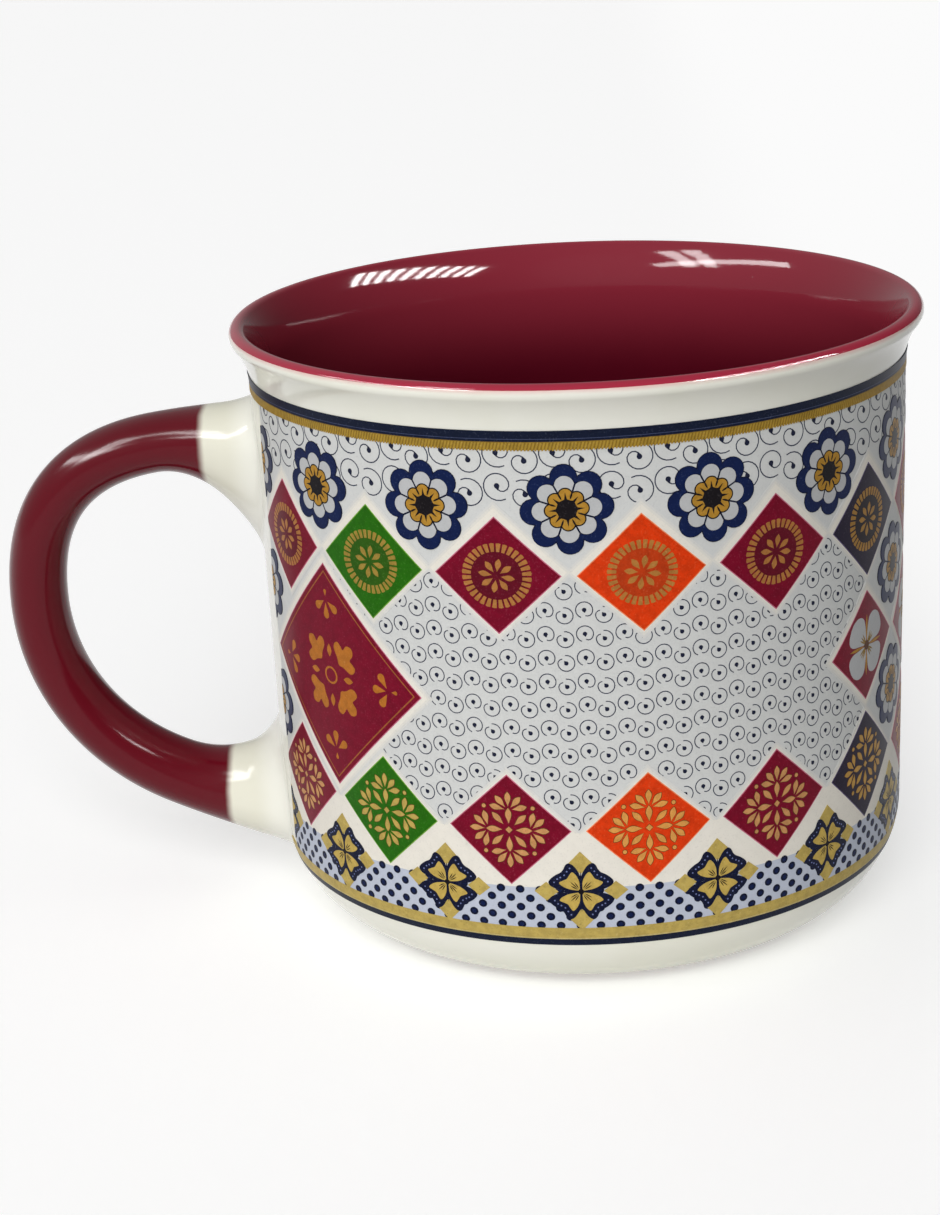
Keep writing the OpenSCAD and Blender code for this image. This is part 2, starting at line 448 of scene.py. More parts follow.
@dataclass(frozen=True)
class PrintFinish:
    """Finish of one fired ink."""

    ink: Ink
    roughness: float = 0.35
    specular: float = 0.06
    bump: float = 0.006

    def material(self, groups: ShaderGroups) -> bpy.types.Material:
        """Builds the ink's material.

        Args:
            groups: the shared shader groups.

        Returns:
            The material.
        """
        material, w, shader = new_material("ink_" + self.ink.name.lower())
        inputs = {
            "Ink": linear(self.ink.value),
            "Thin Ink": linear(wash(self.ink.value, 0.16)),
            "Thick Ink": linear(shade(self.ink.value, 0.93 if self.ink.is_pale else 0.80)),
            "Film": 0.2 if self.ink.is_pale else 0.45,
            "Roughness": self.roughness,
        }
        grain = w.add("ShaderNodeGroup", inputs, node_tree=groups.grain)
        w.feed(shader.inputs["Base Color"], grain.outputs["Color"])
        feed_surface(w, shader, grain, 0.35, self.bump)
        shader.inputs["Specular IOR Level"].default_value = self.specular
        return material


class Measure(Enum):
    """What a glaze's edge is measured along."""

    RADIUS = "distance from the cup's axis"
    HEIGHT = "height above the table"
    REACH = "distance out along the handle"


@dataclass(frozen=True)
class GlazeEdge:
    """Place where one glaze thins, gives way to another, or takes a mixed-in colour of painted light or
    shade.
    """

    along: Measure
    start: float
    end: float
    colour: Rgb
    strength: float = 1.0
    waver: float = 0.3


@dataclass(frozen=True)
class GlazeFinish:
    """Finish of one fired glaze, with the edges at which its colour changes."""

    name: str
    colour: Rgb
    pooled: Rgb
    mottle: float = 0.5
    roughness: float = 0.10
    ripple: float = 0.05
    edges: tuple[GlazeEdge, ...] = ()
    specular: float = 0.5

    def material(self, groups: ShaderGroups) -> bpy.types.Material:
        """Builds the glaze's material.

        Args:
            groups: the shared shader groups.

        Returns:
            The material.
        """
        material, w, shader = new_material(self.name)
        inputs = {
            "Glaze": linear(self.colour),
            "Pooled Glaze": linear(self.pooled),
            "Mottle": self.mottle,
            "Roughness": self.roughness,
        }
        body = w.add("ShaderNodeGroup", inputs, node_tree=groups.glaze)
        colour = body.outputs["Color"]
        for edge in self.edges:
            place = {"Start": edge.start, "End": edge.end, "Waver": edge.waver}
            mask = w.add("ShaderNodeGroup", place, node_tree=groups.edge)
            w.feed(mask.inputs["Measure"], self._measure(w, edge.along))
            share = w.math("MULTIPLY", mask.outputs["Mask"], edge.strength)
            colour = w.mix(share, colour, linear(edge.colour))
        w.feed(shader.inputs["Base Color"], colour)
        feed_surface(w, shader, body, 0.5, self.ripple)
        shader.inputs["Specular IOR Level"].default_value = self.specular
        return material

    @staticmethod
    def _measure(w: TreeWriter, along: Measure) -> bpy.types.NodeSocket:
        """Adds the nodes that measure a place in millimetres.

        Args:
            w: writer of the material's tree.
            along: what is measured.

        Returns:
            The measure's socket.
        """
        place = w.add("ShaderNodeTexCoord").outputs["Object"]
        parts = w.add("ShaderNodeSeparateXYZ", {0: place}).outputs
        if along is Measure.HEIGHT:
            return w.math("DIVIDE", parts["Z"], MM)
        if along is Measure.REACH:
            return w.math("DIVIDE", parts["X"], -MM)
        flat = w.add("ShaderNodeCombineXYZ", {"X": parts["X"], "Y": parts["Y"]}).outputs[0]
        length = w.add("ShaderNodeVectorMath", {0: flat}, operation="LENGTH").outputs["Value"]
        return w.math("DIVIDE", length, MM)


@dataclass(frozen=True)
class ClayFinish:
    """Finish of the bare fired clay."""

    colour: Rgb = (198, 180, 150)
    dark: Rgb = (150, 126, 96)
    roughness: float = 0.85

    def material(self, groups: ShaderGroups) -> bpy.types.Material:
        """Builds the clay's material.

        Args:
            groups: the shared shader groups.

        Returns:
            The material.
        """
        material, w, shader = new_material("bare_clay")
        inputs = {
            "Ink": linear(self.colour),
            "Thin Ink": linear(shade(self.colour, 1.08)),
            "Thick Ink": linear(self.dark),
            "Speck Scale": 2400.0,
            "Roughness": self.roughness,
        }
        grain = w.add("ShaderNodeGroup", inputs, node_tree=groups.grain)
        w.feed(shader.inputs["Base Color"], grain.outputs["Color"])
        feed_surface(w, shader, grain, 0.6, 0.05)
        return material


class Finishes:
    """Every material of the mug, made once and kept by name."""

    def __init__(self) -> None:
        """Builds the shader groups and an empty set of materials."""
        self.groups = ShaderGroups()
        self._made: dict[Any, bpy.types.Material] = {}

    def get(self, finish: PrintFinish | GlazeFinish | ClayFinish) -> bpy.types.Material:
        """Returns the finish's material, built at its first use."""
        if finish not in self._made:
            self._made[finish] = finish.material(self.groups)
        return self._made[finish]

    def ink(self, ink: Ink) -> bpy.types.Material:
        """Returns the material of an ink."""
        return self.get(PrintFinish(ink))


@dataclass(frozen=True)
class CupProfile:
    """Outline of the turned cup in the plane of radius and height."""

    cup_h: float
    lip_d: float
    lip_t: float = 2.6
    cove_r: float = 10.0
    lip_flare: float = 2.6
    wall_draft: float = 0.7
    wall_base_t: float = 4.0
    corner_r: float = 15.0
    inner_corner_r: float = 11.0
    floor_t: float = 5.0
    foot_h: float = 1.0
    foot_step: float = 1.6
    foot_w: float = 4.0
    foot_round: float = 0.5
    recess_h: float = 2.0
    recess_crown: float = 0.125
    glaze_t: float = 0.4
    liner_edge_a: float = 30.0
    arc_step_a: float = 3.0
    straight_step: float = 2.5

    @classmethod
    def from_frame(cls) -> "CupProfile":
        """Reads the cup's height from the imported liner, and the lip's diameter from the outside glaze."""
        top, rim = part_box("liner_glaze")[1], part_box("wall_glaze")[1]
        return cls(cup_h=top.z / MM, lip_d=2 * rim.x / MM)

    @property
    def lip_r(self) -> float:
        """Radius of the lip's round edge."""
        return self.lip_t / 2

    @property
    def rim_r(self) -> float:
        """Radius over the lip."""
        return self.lip_d / 2

    @property
    def throat_r(self) -> float:
        """Radius of the wall under the cove."""
        return self.rim_r - self.lip_flare

    @property
    def base_r(self) -> float:
        """Radius of the wall above the bottom corner."""
        return self.throat_r - self.wall_draft

    @property
    def flare_a(self) -> float:
        """Angle over which the cove turns out to the lip."""
        return math.degrees(math.acos(1 - self.lip_flare / (self.cove_r + self.lip_r)))

    @property
    def lip_c(self) -> Point:
        """Centre of the lip's round edge."""
        return (self.rim_r - self.lip_r, self.cup_h - self.lip_r)

    @property
    def cove_c(self) -> Point:
        """Centre of the cove under the lip."""
        reach = self.cove_r + self.lip_r
        a = math.radians(self.flare_a)
        return (self.lip_c[0] + reach * math.cos(a), self.lip_c[1] - reach * math.sin(a))

    @property
    def corner_c(self) -> Point:
        """Centre of the bottom corner."""
        return (self.base_r - self.corner_r, self.corner_r)

    @property
    def wall_slope(self) -> float:
        """Growth of the wall's radius with height."""
        return self.wall_draft / (self.cove_c[1] - self.corner_c[1])

    @property
    def wall_lean(self) -> float:
        """Angle of the wall from upright."""
        return math.degrees(math.atan(self.wall_slope))

    @property
    def foot_a(self) -> float:
        """Angle on the bottom corner at which the glaze stops above the foot."""
        return -math.degrees(math.asin((self.corner_c[1] - self.foot_h) / self.corner_r))

    @property
    def floor_z(self) -> float:
        """Height of the floor inside."""
        return self.recess_h + self.floor_t

    @property
    def inner_cove_r(self) -> float:
        """Radius of the cove's inner side."""
        return self.cove_r + self.lip_t

    @property
    def inner_corner_c(self) -> Point:
        """Centre of the bottom corner inside."""
        return (self.base_r - self.wall_base_t - self.inner_corner_r, self.floor_z + self.inner_corner_r)

    @property
    def inner_lean(self) -> float:
        """Angle of the inner wall from upright."""
        rise = self.cove_c[1] - self.inner_corner_c[1]
        run = self.cove_c[0] - self.inner_cove_r - (self.base_r - self.wall_base_t)
        return math.degrees(math.atan(run / rise))

    @property
    def foot_out_r(self) -> float:
        """Outer radius of the foot ring."""
        return self.corner_c[0] + self.corner_r * math.cos(math.radians(self.foot_a)) - self.foot_step

    @property
    def foot_in_r(self) -> float:
        """Inner radius of the foot ring."""
        return self.foot_out_r - self.foot_w

    def arc(self, centre: Point, r: float, from_a: float, to_a: float) -> list[Point]:
        """Returns points along an arc.

        Args:
            centre: the arc's centre.
            r: its radius.
            from_a: angle of the first point.
            to_a: angle of the last point.

        Returns:
            Points of radius and height.
        """
        steps = max(4, round(abs(to_a - from_a) / self.arc_step_a))
        angles = np.radians(np.linspace(from_a, to_a, steps + 1))
        return [(centre[0] + r * math.cos(a), centre[1] + r * math.sin(a)) for a in angles]

    def filled(self, points: Sequence[Point]) -> list[Point]:
        """Returns a line with points added along its long straight stretches."""
        line = [points[0]]
        for start, end in zip(points, points[1:]):
            steps = max(1, math.ceil(math.dist(start, end) / self.straight_step))
            shares = [(k + 1) / steps for k in range(steps)]
            line += [(start[0] + (end[0] - start[0]) * s, start[1] + (end[1] - start[1]) * s) for s in shares]
        return line

    def outer_line(self, skin: float = 0.0) -> list[Point]:
        """Returns the outside from the foot up to the liner's edge, a depth of skin under the surface."""
        return self.filled(
            self.arc(self.corner_c, self.corner_r - skin, self.foot_a, -self.wall_lean)
            + self.arc(self.cove_c, self.cove_r + skin, 180 - self.wall_lean, 180 - self.flare_a)
            + self.arc(self.lip_c, self.lip_r - skin, -self.flare_a, self.liner_edge_a)[1:]
        )

    def inner_line(self, skin: float = 0.0) -> list[Point]:
        """Returns the inside from the liner's edge to the middle of the floor, under the same skin."""
        return self.filled(
            self.arc(self.lip_c, self.lip_r - skin, self.liner_edge_a, 180 - self.flare_a)
            + self.arc(self.cove_c, self.inner_cove_r - skin, 180 - self.flare_a, 180 - self.inner_lean)[1:]
            + self.arc(self.inner_corner_c, self.inner_corner_r + skin, -self.inner_lean, -90)
            + [(0.0, self.floor_z - skin)]
        )

    def wall_radius(self, z: np.ndarray | float) -> np.ndarray:
        """Returns the outer radius at a height, from the bottom corner up to the lip.

        Args:
            z: one or more heights.

        Returns:
            The radius at each height.
        """
        z = np.asarray(z, float)
        low = self.corner_r**2 - np.square(np.minimum(z - self.corner_c[1], 0))
        corner = self.corner_c[0] + np.sqrt(np.maximum(low, 0))
        cone = self.base_r + self.wall_slope * (z - self.corner_c[1])
        high = self.cove_r**2 - np.square(np.maximum(z - self.cove_c[1], 0))
        cove = self.cove_c[0] - np.sqrt(np.maximum(high, 0))
        return np.where(z < self.corner_c[1], corner, np.where(z > self.cove_c[1], cove, cone))


def mesh_of(
    name: str,
    points: Iterable[Sequence[float]],
    faces: Iterable[Sequence[int]] = (),
) -> bpy.types.Mesh:
    """Makes a mesh from points in millimetres.

    Args:
        name: the mesh's name.
        points: places of its vertices.
        faces: rows of vertex numbers.

    Returns:
        The mesh, in metres.
    """
    mesh = bpy.data.meshes.new(name)
    mesh.from_pydata([tuple(c * MM for c in p) for p in points], [], [tuple(f) for f in faces])
    return mesh


def new_object(name: str, mesh: bpy.types.Mesh) -> bpy.types.Object:
    """Links a new object with that mesh to the scene."""
    obj = bpy.data.objects.new(name, mesh)
    bpy.context.scene.collection.objects.link(obj)
    return obj


SHARP_A = 40.0


def close_and_smooth(mesh: bpy.types.Mesh) -> None:
    """Closes a mesh's holes, turns its faces outwards and smooths it up to its sharp edges.

    Args:
        mesh: the mesh that is finished.
    """
    bm = bmesh.new()
    bm.from_mesh(mesh)
    open_edges = [e for e in bm.edges if e.is_boundary]
    if open_edges:
        bmesh.ops.holes_fill(bm, edges=open_edges, sides=0)
    bmesh.ops.recalc_face_normals(bm, faces=bm.faces[:])
    bm.to_mesh(mesh)
    bm.free()
    mesh.polygons.foreach_set("use_smooth", [True] * len(mesh.polygons))
    mesh.set_sharp_from_angle(angle=math.radians(SHARP_A))


def run_tree(obj: bpy.types.Object, tree: bpy.types.NodeTree, values: dict[str, Any]) -> bpy.types.Object:
    """Runs a geometry tree on an object and keeps its result as a plain mesh.

    Args:
        obj: the object whose mesh the tree starts from.
        tree: the geometry node tree.
        values: the tree's inputs by name.

    Returns:
        The same object, with its new mesh and no modifier.
    """
    modifier = obj.modifiers.new(tree.name, "NODES")
    modifier.node_group = tree
    sockets = {s.name: s.identifier for s in tree.interface.items_tree if s.in_out == "INPUT"}
    for name, value in values.items():
        modifier[sockets[name]] = value
    graph = bpy.context.evaluated_depsgraph_get()
    made = bpy.data.meshes.new_from_object(obj.evaluated_get(graph), depsgraph=graph)
    start = obj.data
    obj.modifiers.clear()
    obj.data = made
    made.name = obj.name
    bpy.data.meshes.remove(start)
    close_and_smooth(made)
    return obj


def wheel_tree() -> bpy.types.NodeTree:
    """Builds the tree that turns a line of points round the cup's axis.

    Returns:
        The geometry node tree. Its line has the radius in x and the height in z.
    """
    ins = [
        ("Line", GEOMETRY, None),
        ("Around", "NodeSocketInt", 288),
        ("Start", NUMBER, 0.0),
        ("Sweep", NUMBER, 2 * math.pi),
        ("Material", "NodeSocketMaterial", None),
    ]
    w = new_group("Turned on the wheel", "GeometryNodeTree", ins, [("Piece", GEOMETRY)])
    source = w.add("NodeGroupInput").outputs
    count = w.add("GeometryNodeAttributeDomainSize", {0: source["Line"]}).outputs["Point Count"]
    columns = w.math("ADD", source["Around"], 1.0)
    size = {"Size X": 1.0, "Size Y": 1.0, "Vertices X": columns, "Vertices Y": count}
    grid = w.add("GeometryNodeMeshGrid", size).outputs["Mesh"]
    place = w.add("ShaderNodeSeparateXYZ", {0: w.add("GeometryNodeInputPosition").outputs[0]}).outputs
    turn = w.math("MULTIPLY_ADD", w.math("ADD", place["X"], 0.5), source["Sweep"], source["Start"])
    last = w.math("SUBTRACT", count, 1.0)
    row = w.math("ROUND", w.math("MULTIPLY", w.math("ADD", place["Y"], 0.5), last))
    picked = {"Geometry": source["Line"], "Index": row}
    sample = w.add("GeometryNodeSampleIndex", picked, data_type="FLOAT_VECTOR")
    w.feed(sample.inputs["Value"], w.add("GeometryNodeInputPosition").outputs[0])
    point = w.add("ShaderNodeSeparateXYZ", {0: sample.outputs[0]}).outputs
    x = w.math("MULTIPLY", point["X"], w.math("SINE", turn))
    y = w.math("MULTIPLY", point["X"], w.math("MULTIPLY", w.math("COSINE", turn), -1.0))
    spot = w.add("ShaderNodeCombineXYZ", {"X": x, "Y": y, "Z": point["Z"]}).outputs[0]
    shaped = w.add("GeometryNodeSetPosition", {"Geometry": grid, "Position": spot}).outputs[0]
    merged = w.add("GeometryNodeMergeByDistance", {"Geometry": shaped, "Distance": 1e-6}).outputs[0]
    real = w.add("GeometryNodeRealizeInstances", {0: merged}).outputs[0]
    piece = w.add("GeometryNodeSetMaterial", {"Geometry": real, "Material": source["Material"]}).outputs[0]
    w.add("NodeGroupOutput", {"Piece": piece})
    return w.tree


def wrap_tree() -> bpy.types.NodeTree:
    """Builds the tree that sets stamps on points of the flat print and wraps them round the wall.

    Returns:
        The geometry node tree. In the flat, x runs round the wall at the reference radius, y is the height
        and z lies out of the wall.
    """
    ins = [
        ("Places", GEOMETRY, None),
        ("Stamps", "NodeSocketCollection", None),
        ("Reference Radius", NUMBER, 0.048),
        ("Base Radius", NUMBER, 0.0477),
        ("Wall Slope", NUMBER, 0.01),
        ("Corner Radius", NUMBER, 0.015),
        ("Material", "NodeSocketMaterial", None),
    ]
    w = new_group("Printed round the wall", "GeometryNodeTree", ins, [("Piece", GEOMETRY)])
    source = w.add("NodeGroupInput").outputs
    stamps = w.add("GeometryNodeCollectionInfo", {"Collection": source["Stamps"]})
    stamps.inputs["Separate Children"].default_value = True
    stamps.inputs["Reset Children"].default_value = True
    which = w.add("GeometryNodeInputNamedAttribute", {"Name": "stamp"}, data_type="INT").outputs[0]
    turn = w.add("GeometryNodeInputNamedAttribute", {"Name": "turn"}, data_type="FLOAT").outputs[0]
    placed = w.add("GeometryNodeInstanceOnPoints", {"Points": source["Places"]})
    w.feed(placed.inputs["Instance"], stamps.outputs[0])
    placed.inputs["Pick Instance"].default_value = True
    w.feed(placed.inputs["Instance Index"], which)
    w.feed(placed.inputs["Rotation"], w.add("ShaderNodeCombineXYZ", {"Z": turn}).outputs[0])
    real = w.add("GeometryNodeRealizeInstances", {0: placed.outputs[0]}).outputs[0]
    flat = w.add("ShaderNodeSeparateXYZ", {0: w.add("GeometryNodeInputPosition").outputs[0]}).outputs
    angle = w.math("DIVIDE", flat["X"], source["Reference Radius"])
    rise = w.math("SUBTRACT", flat["Y"], source["Corner Radius"])
    above = w.math("MAXIMUM", rise, 0.0)
    below = w.math("MINIMUM", rise, 0.0)
    square = w.math("MULTIPLY", source["Corner Radius"], source["Corner Radius"])
    chord = w.math("SQRT", w.math("SUBTRACT", square, w.math("MULTIPLY", below, below)))
    drop = w.math("SUBTRACT", source["Corner Radius"], chord)
    cone = w.math("MULTIPLY_ADD", above, source["Wall Slope"], source["Base Radius"])
    radius = w.math("ADD", w.math("SUBTRACT", cone, drop), flat["Z"])
    x = w.math("MULTIPLY", radius, w.math("SINE", angle))
    y = w.math("MULTIPLY", radius, w.math("MULTIPLY", w.math("COSINE", angle), -1.0))
    spot = w.add("ShaderNodeCombineXYZ", {"X": x, "Y": y, "Z": flat["Y"]}).outputs[0]
    shaped = w.add("GeometryNodeSetPosition", {"Geometry": real, "Position": spot}).outputs[0]
    piece = w.add("GeometryNodeSetMaterial", {"Geometry": shaped, "Material": source["Material"]}).outputs[0]
    w.add("NodeGroupOutput", {"Piece": piece})
    return w.tree


@dataclass
class Wheel:
    """Turns the round pieces of the mug, with so many facets to the full turn."""

    around: int = 288
    tree: bpy.types.NodeTree = field(default_factory=wheel_tree)

    def turn(
        self,
        name: str,
        line: Sequence[Point],
        material: bpy.types.Material,
        start: float = 0.0,
        sweep: float = 360.0,
    ) -> bpy.types.Object:
        """Turns a closed outline into a piece.

        Args:
            name: the piece's name.
            line: points of radius and height, from start to end.
            material: the piece's finish.
            start: angle at which it starts.
            sweep: angle that it goes round.

        Returns:
            The piece.
        """
        obj = new_object(name, mesh_of(name, [(r, 0.0, z) for r, z in line]))
        values = {
            "Around": max(4, round(self.around * sweep / 360)),
            "Start": math.radians(start),
            "Sweep": math.radians(sweep),
            "Material": material,
        }
        return run_tree(obj, self.tree, values)


def finish_piece(obj: bpy.types.Object, node: str = "") -> None:
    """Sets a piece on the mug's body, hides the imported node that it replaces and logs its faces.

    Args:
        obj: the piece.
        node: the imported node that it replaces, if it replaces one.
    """
    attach(obj, BODY)
    if node:
        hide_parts(node)
    log.info("%s: %d faces", obj.name, len(obj.data.polygons))


IVORY: Rgb = (238, 237, 226)
IVORY_POOLED: Rgb = (226, 226, 206)
# Darker ivory of the handle's roots, which is painted shade: the same glaze as the wall, shown shaded.
SHADED_ROOT_IVORY: Rgb = (228, 226, 210)
SHADED_ROOT_POOLED: Rgb = (214, 214, 192)
BURGUNDY_DEEP: Rgb = (88, 11, 27)
THIN_RED: Rgb = (178, 46, 70)
BLUSH: Rgb = (228, 176, 172)
# Paler red of the inside glaze, used as painted light on the inside floor and as a painted sheen at the top
# of the inside wall.
PAINTED_LIGHT_RED: Rgb = (138, 41, 56)
LINER_RED: Rgb = (78, 9, 24)
GRIP_RED: Rgb = (97, 12, 26)


@dataclass
class Cup:
    """The turned cup: bare clay, and the glazes of its inside, outside and underside."""

    profile: CupProfile
    wheel: Wheel
    finishes: Finishes

    def build(self) -> None:
        """Makes the cup's four pieces."""
        self._clay()
        self._inside()
        self._outside()
        self._underside()

    def _clay(self) -> None:
        """Turns the clay body with its rounded foot ring."""
        p = self.profile
        skin = p.glaze_t
        outside = p.outer_line(skin)
        round_r = p.foot_round
        foot = [
            (0.0, p.recess_h + skin),
            (p.foot_in_r, p.recess_h + skin),
            *p.arc((p.foot_in_r + round_r, round_r), round_r, 180, 270),
            *p.arc((p.foot_out_r - round_r, round_r), round_r, 270, 360),
            (p.foot_out_r, outside[0][1]),
        ]
        line = outside + p.inner_line(skin)[1:] + p.filled(foot) + [outside[0]]
        piece = self.wheel.turn("clay_cup", line, self.finishes.get(ClayFinish()))
        finish_piece(piece, "cup_body")

    def _inside(self) -> None:
        """Turns the burgundy glaze of the inside, thinned to red over the lip, with painted light: a paler
        red on the inside floor and a painted sheen at the top of the inside wall.
        """
        p = self.profile
        line = p.inner_line() + p.inner_line(p.glaze_t)[::-1] + [p.inner_line()[0]]
        lip = GlazeEdge(Measure.RADIUS, p.rim_r - p.lip_t * 0.9, p.rim_r - p.lip_t * 0.3, THIN_RED, 0.8, 0.4)
        blush = GlazeEdge(Measure.RADIUS, p.rim_r - 0.16, p.rim_r - 0.02, BLUSH, 0.8, 0.15)
        # Painted light: the next two edges mix a paler red into the inside floor and, as a painted sheen,
        # into the top of the inside wall.
        floor = GlazeEdge(Measure.HEIGHT, 26.0, 8.0, PAINTED_LIGHT_RED, 0.6)
        painted_sheen = GlazeEdge(Measure.HEIGHT, 69.0, 87.0, PAINTED_LIGHT_RED, 1.0)
        finish = GlazeFinish(
            "burgundy_liner", LINER_RED, BURGUNDY_DEEP, mottle=0.35, roughness=0.08, ripple=0.07,
            edges=(floor, painted_sheen, lip, blush), specular=0.24,
        )
        piece = self.wheel.turn("inside_glaze", line, self.finishes.get(finish))
        finish_piece(piece, "liner_glaze")

    def _outside(self) -> None:
        """Turns the ivory glaze of the outside, blushed where it meets the liner."""
        p = self.profile
        line = p.outer_line() + p.outer_line(p.glaze_t)[::-1] + [p.outer_line()[0]]
        edge_z = p.lip_c[1] + p.lip_r * math.sin(math.radians(p.liner_edge_a))
        blush = GlazeEdge(Measure.HEIGHT, edge_z - 0.7, edge_z + 0.1, BLUSH, 0.7, 0.4)
        pooled = GlazeEdge(Measure.HEIGHT, 9.0, 1.5, IVORY_POOLED, 0.8)
        finish = GlazeFinish(
            "ivory_glaze", IVORY, IVORY_POOLED, mottle=0.35, edges=(blush, pooled), specular=0.34,
        )
        piece = self.wheel.turn("outside_glaze", line, self.finishes.get(finish))
        finish_piece(piece, "wall_glaze")

    def _underside(self) -> None:
        """Turns the ivory glaze in the recess under the base."""
        p = self.profile
        face = [(p.foot_in_r * s, p.recess_h + p.recess_crown * (1 - s * s)) for s in np.linspace(0, 1, 25)]
        back = p.recess_h + p.glaze_t
        line = face + [(p.foot_in_r, back), (0.0, back), face[0]]
        finish = GlazeFinish(
            "base_glaze_ivory", IVORY, IVORY_POOLED, mottle=0.6, roughness=0.12, ripple=0.08,
        )
        piece = self.wheel.turn("underside_glaze", line, self.finishes.get(finish))
        finish_piece(piece, "base_glaze")


@dataclass
class Handle:
    """The loop handle: a swept tube whose ends spread and melt into the wall."""

    profile: CupProfile
    finishes: Finishes
    upper_joint_drop: float = 19.5
    lower_joint_rise: float = 16.0
    reach: float = 35.5
    width: float = 12.0
    grip_t: float = 8.7
    upper_root_t: float = 9.2
    lower_root_t: float = 11.3
    spread_l: float = 16.0
    upper_spread_in: float = 8.5
    upper_spread_out: float = 1.6
    lower_spread_in: float = 4.8
    lower_spread_out: float = 2.2
    side_spread: float = 4.0
    root_sink: float = 4.0
    grip_start: float = 8.6
    glaze_break: float = 7.7
    break_w: float = 0.7
    blend_from: float = 4.6
    blend_to: float = 0.8
    fillet_l: float = 5.5
    fillet_in: float = 4.5
    fillet_out: float = 1.4
    fillet_side: float = 2.2
    fillet_pull: float = 0.45
    fillet_low: float = 0.4
    cover: float = 0.03
    anchor: float = 0.8
    sides: int = 96
    grip_rings: int = 150
    root_rings: int = 24
    fillet_rings: int = 14
    fine_rings: int = 600
    lean_rings: int = 6
    path_shares: tuple[Point, ...] = (
        (0, 1), (0.535, 1.07), (1, 1), (1, 0.59), (1, 0.245), (0.59, -0.02), (0, 0),
    )

    def build(self) -> None:
        """Makes the handle's three glazed lengths and dresses the clay inside them."""
        start, end = self._u_at(0.0, 1.0), self._u_at(2.0, 1.0)
        grip = [self.ring(u) for u in np.linspace(start, end, self.grip_rings)]
        finish = self._finish()
        lengths = (
            ("grip_coat", grip, "burgundy_glaze", "grip_glaze"),
            ("upper_root_coat", self._root(start, 0.0), "ivory_glaze", "upper_root_glaze"),
            ("lower_root_coat", self._root(end, 2.0), "ivory_glaze", "lower_root_glaze"),
        )
        for name, rings, slot, node in lengths:
            finish_piece(self._skin(name, rings, finish), node)
        clay = self.finishes.get(ClayFinish())
        for node in ("handle_core", "upper_slip_joint", "lower_slip_joint"):
            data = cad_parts[node].data
            data.materials.clear()
            data.materials.append(clay)

    def _finish(self) -> bpy.types.Material:
        """Returns the glaze that goes from ivory at the wall, through a darker ivory of painted shade on the
        roots, to burgundy on the grip.
        """
        wall_r = self.profile.throat_r
        break_x = wall_r + self.glaze_break
        wall = GlazeEdge(Measure.RADIUS, wall_r + self.blend_from, wall_r + self.blend_to, IVORY, waver=0.0)
        grip = GlazeEdge(Measure.REACH, break_x - self.break_w, break_x + self.break_w, GRIP_RED, waver=0.9)
        # The roots' own colour is a darker ivory of painted shade; the plain ivory only comes back next to
        # the wall.
        finish = GlazeFinish(
            "handle_glaze", SHADED_ROOT_IVORY, SHADED_ROOT_POOLED, mottle=0.3, roughness=0.16, edges=(wall, grip),
            specular=0.2,
        )
        return self.finishes.get(finish)

    def _controls(self) -> np.ndarray:
        """Returns the control points of the centre line, as radius and height."""
        p = self.profile
        root_r = p.throat_r - self.root_sink
        run = p.throat_r + self.reach - root_r
        rise = p.cup_h - self.upper_joint_drop - self.lower_joint_rise
        shares = np.array(self.path_shares, float)
        return np.array([root_r, self.lower_joint_rise]) + shares * np.array([run, rise])

    def centre(self, u: float) -> tuple[np.ndarray, np.ndarray]:
        """Returns the place and direction of the centre line.

        Args:
            u: place along it, from 0 at the upper end to 2 at the lower end.

        Returns:
            Radius and height of the place, and the unit direction.
        """
        half = 0 if u < 1 else 1
        a, b, c, d = self._controls()[3 * half : 3 * half + 4]
        t = u - half
        s = 1 - t
        place = s**3 * a + 3 * t * s**2 * b + 3 * t**2 * s * c + t**3 * d
        slope = s**2 * (b - a) + 2 * t * s * (c - b) + t**2 * (d - c)
        return place, slope / np.linalg.norm(slope)

    def _u_at(self, near: float, far: float) -> float:
        """Returns the place along the centre line where the grip's own glaze starts.

        Args:
            near: the end of the line at the wall.
            far: a place on the grip.

        Returns:
            The place, by halving.
        """
        wanted = self.profile.throat_r + self.grip_start
        for _ in range(30):
            middle = (near + far) / 2
            if self.centre(middle)[0][0] < wanted:
                near = middle
            else:
                far = middle
        return (near + far) / 2

    def ring(self, u: float) -> np.ndarray:
        """Returns one ring of the tube's surface.

        Args:
            u: place along the centre line.

        Returns:
            One point for each side.
        """
        place, way = self.centre(u)
        upper = u < 1
        root_t = self.upper_root_t if upper else self.lower_root_t
        spread_in = self.upper_spread_in if upper else self.lower_spread_in
        spread_out = self.upper_spread_out if upper else self.lower_spread_out
        plain = (self.grip_t + (1 - u) ** 2 * (root_t - self.grip_t)) / 2
        spread = (1 - min(1, max(0, place[0] - self.profile.throat_r) / self.spread_l)) ** 2
        a = np.linspace(0, 2 * np.pi, self.sides, endpoint=False)
        depth = np.where(np.cos(a) > 0, plain + spread * spread_out, plain + spread * spread_in)
        t = np.cos(a) * depth
        half_w = self.width / 2 + spread * self.side_spread
        return np.stack([way[1] * t - place[0], half_w * np.sin(a), place[1] + way[0] * t], axis=1)

    def _gap(self, points: np.ndarray) -> np.ndarray:
        """Returns how far points lie outside the wall."""
        return np.hypot(points[..., 0], points[..., 1]) - self.profile.wall_radius(points[..., 2])

    def _on_wall(self, points: np.ndarray, lift: float) -> np.ndarray:
        """Returns points moved to a distance of lift outside the wall, straight from the axis."""
        out = points.copy()
        scale = (self.profile.wall_radius(points[..., 2]) + lift) / np.hypot(points[..., 0], points[..., 1])
        out[..., 0] *= scale
        out[..., 1] *= scale
        return out

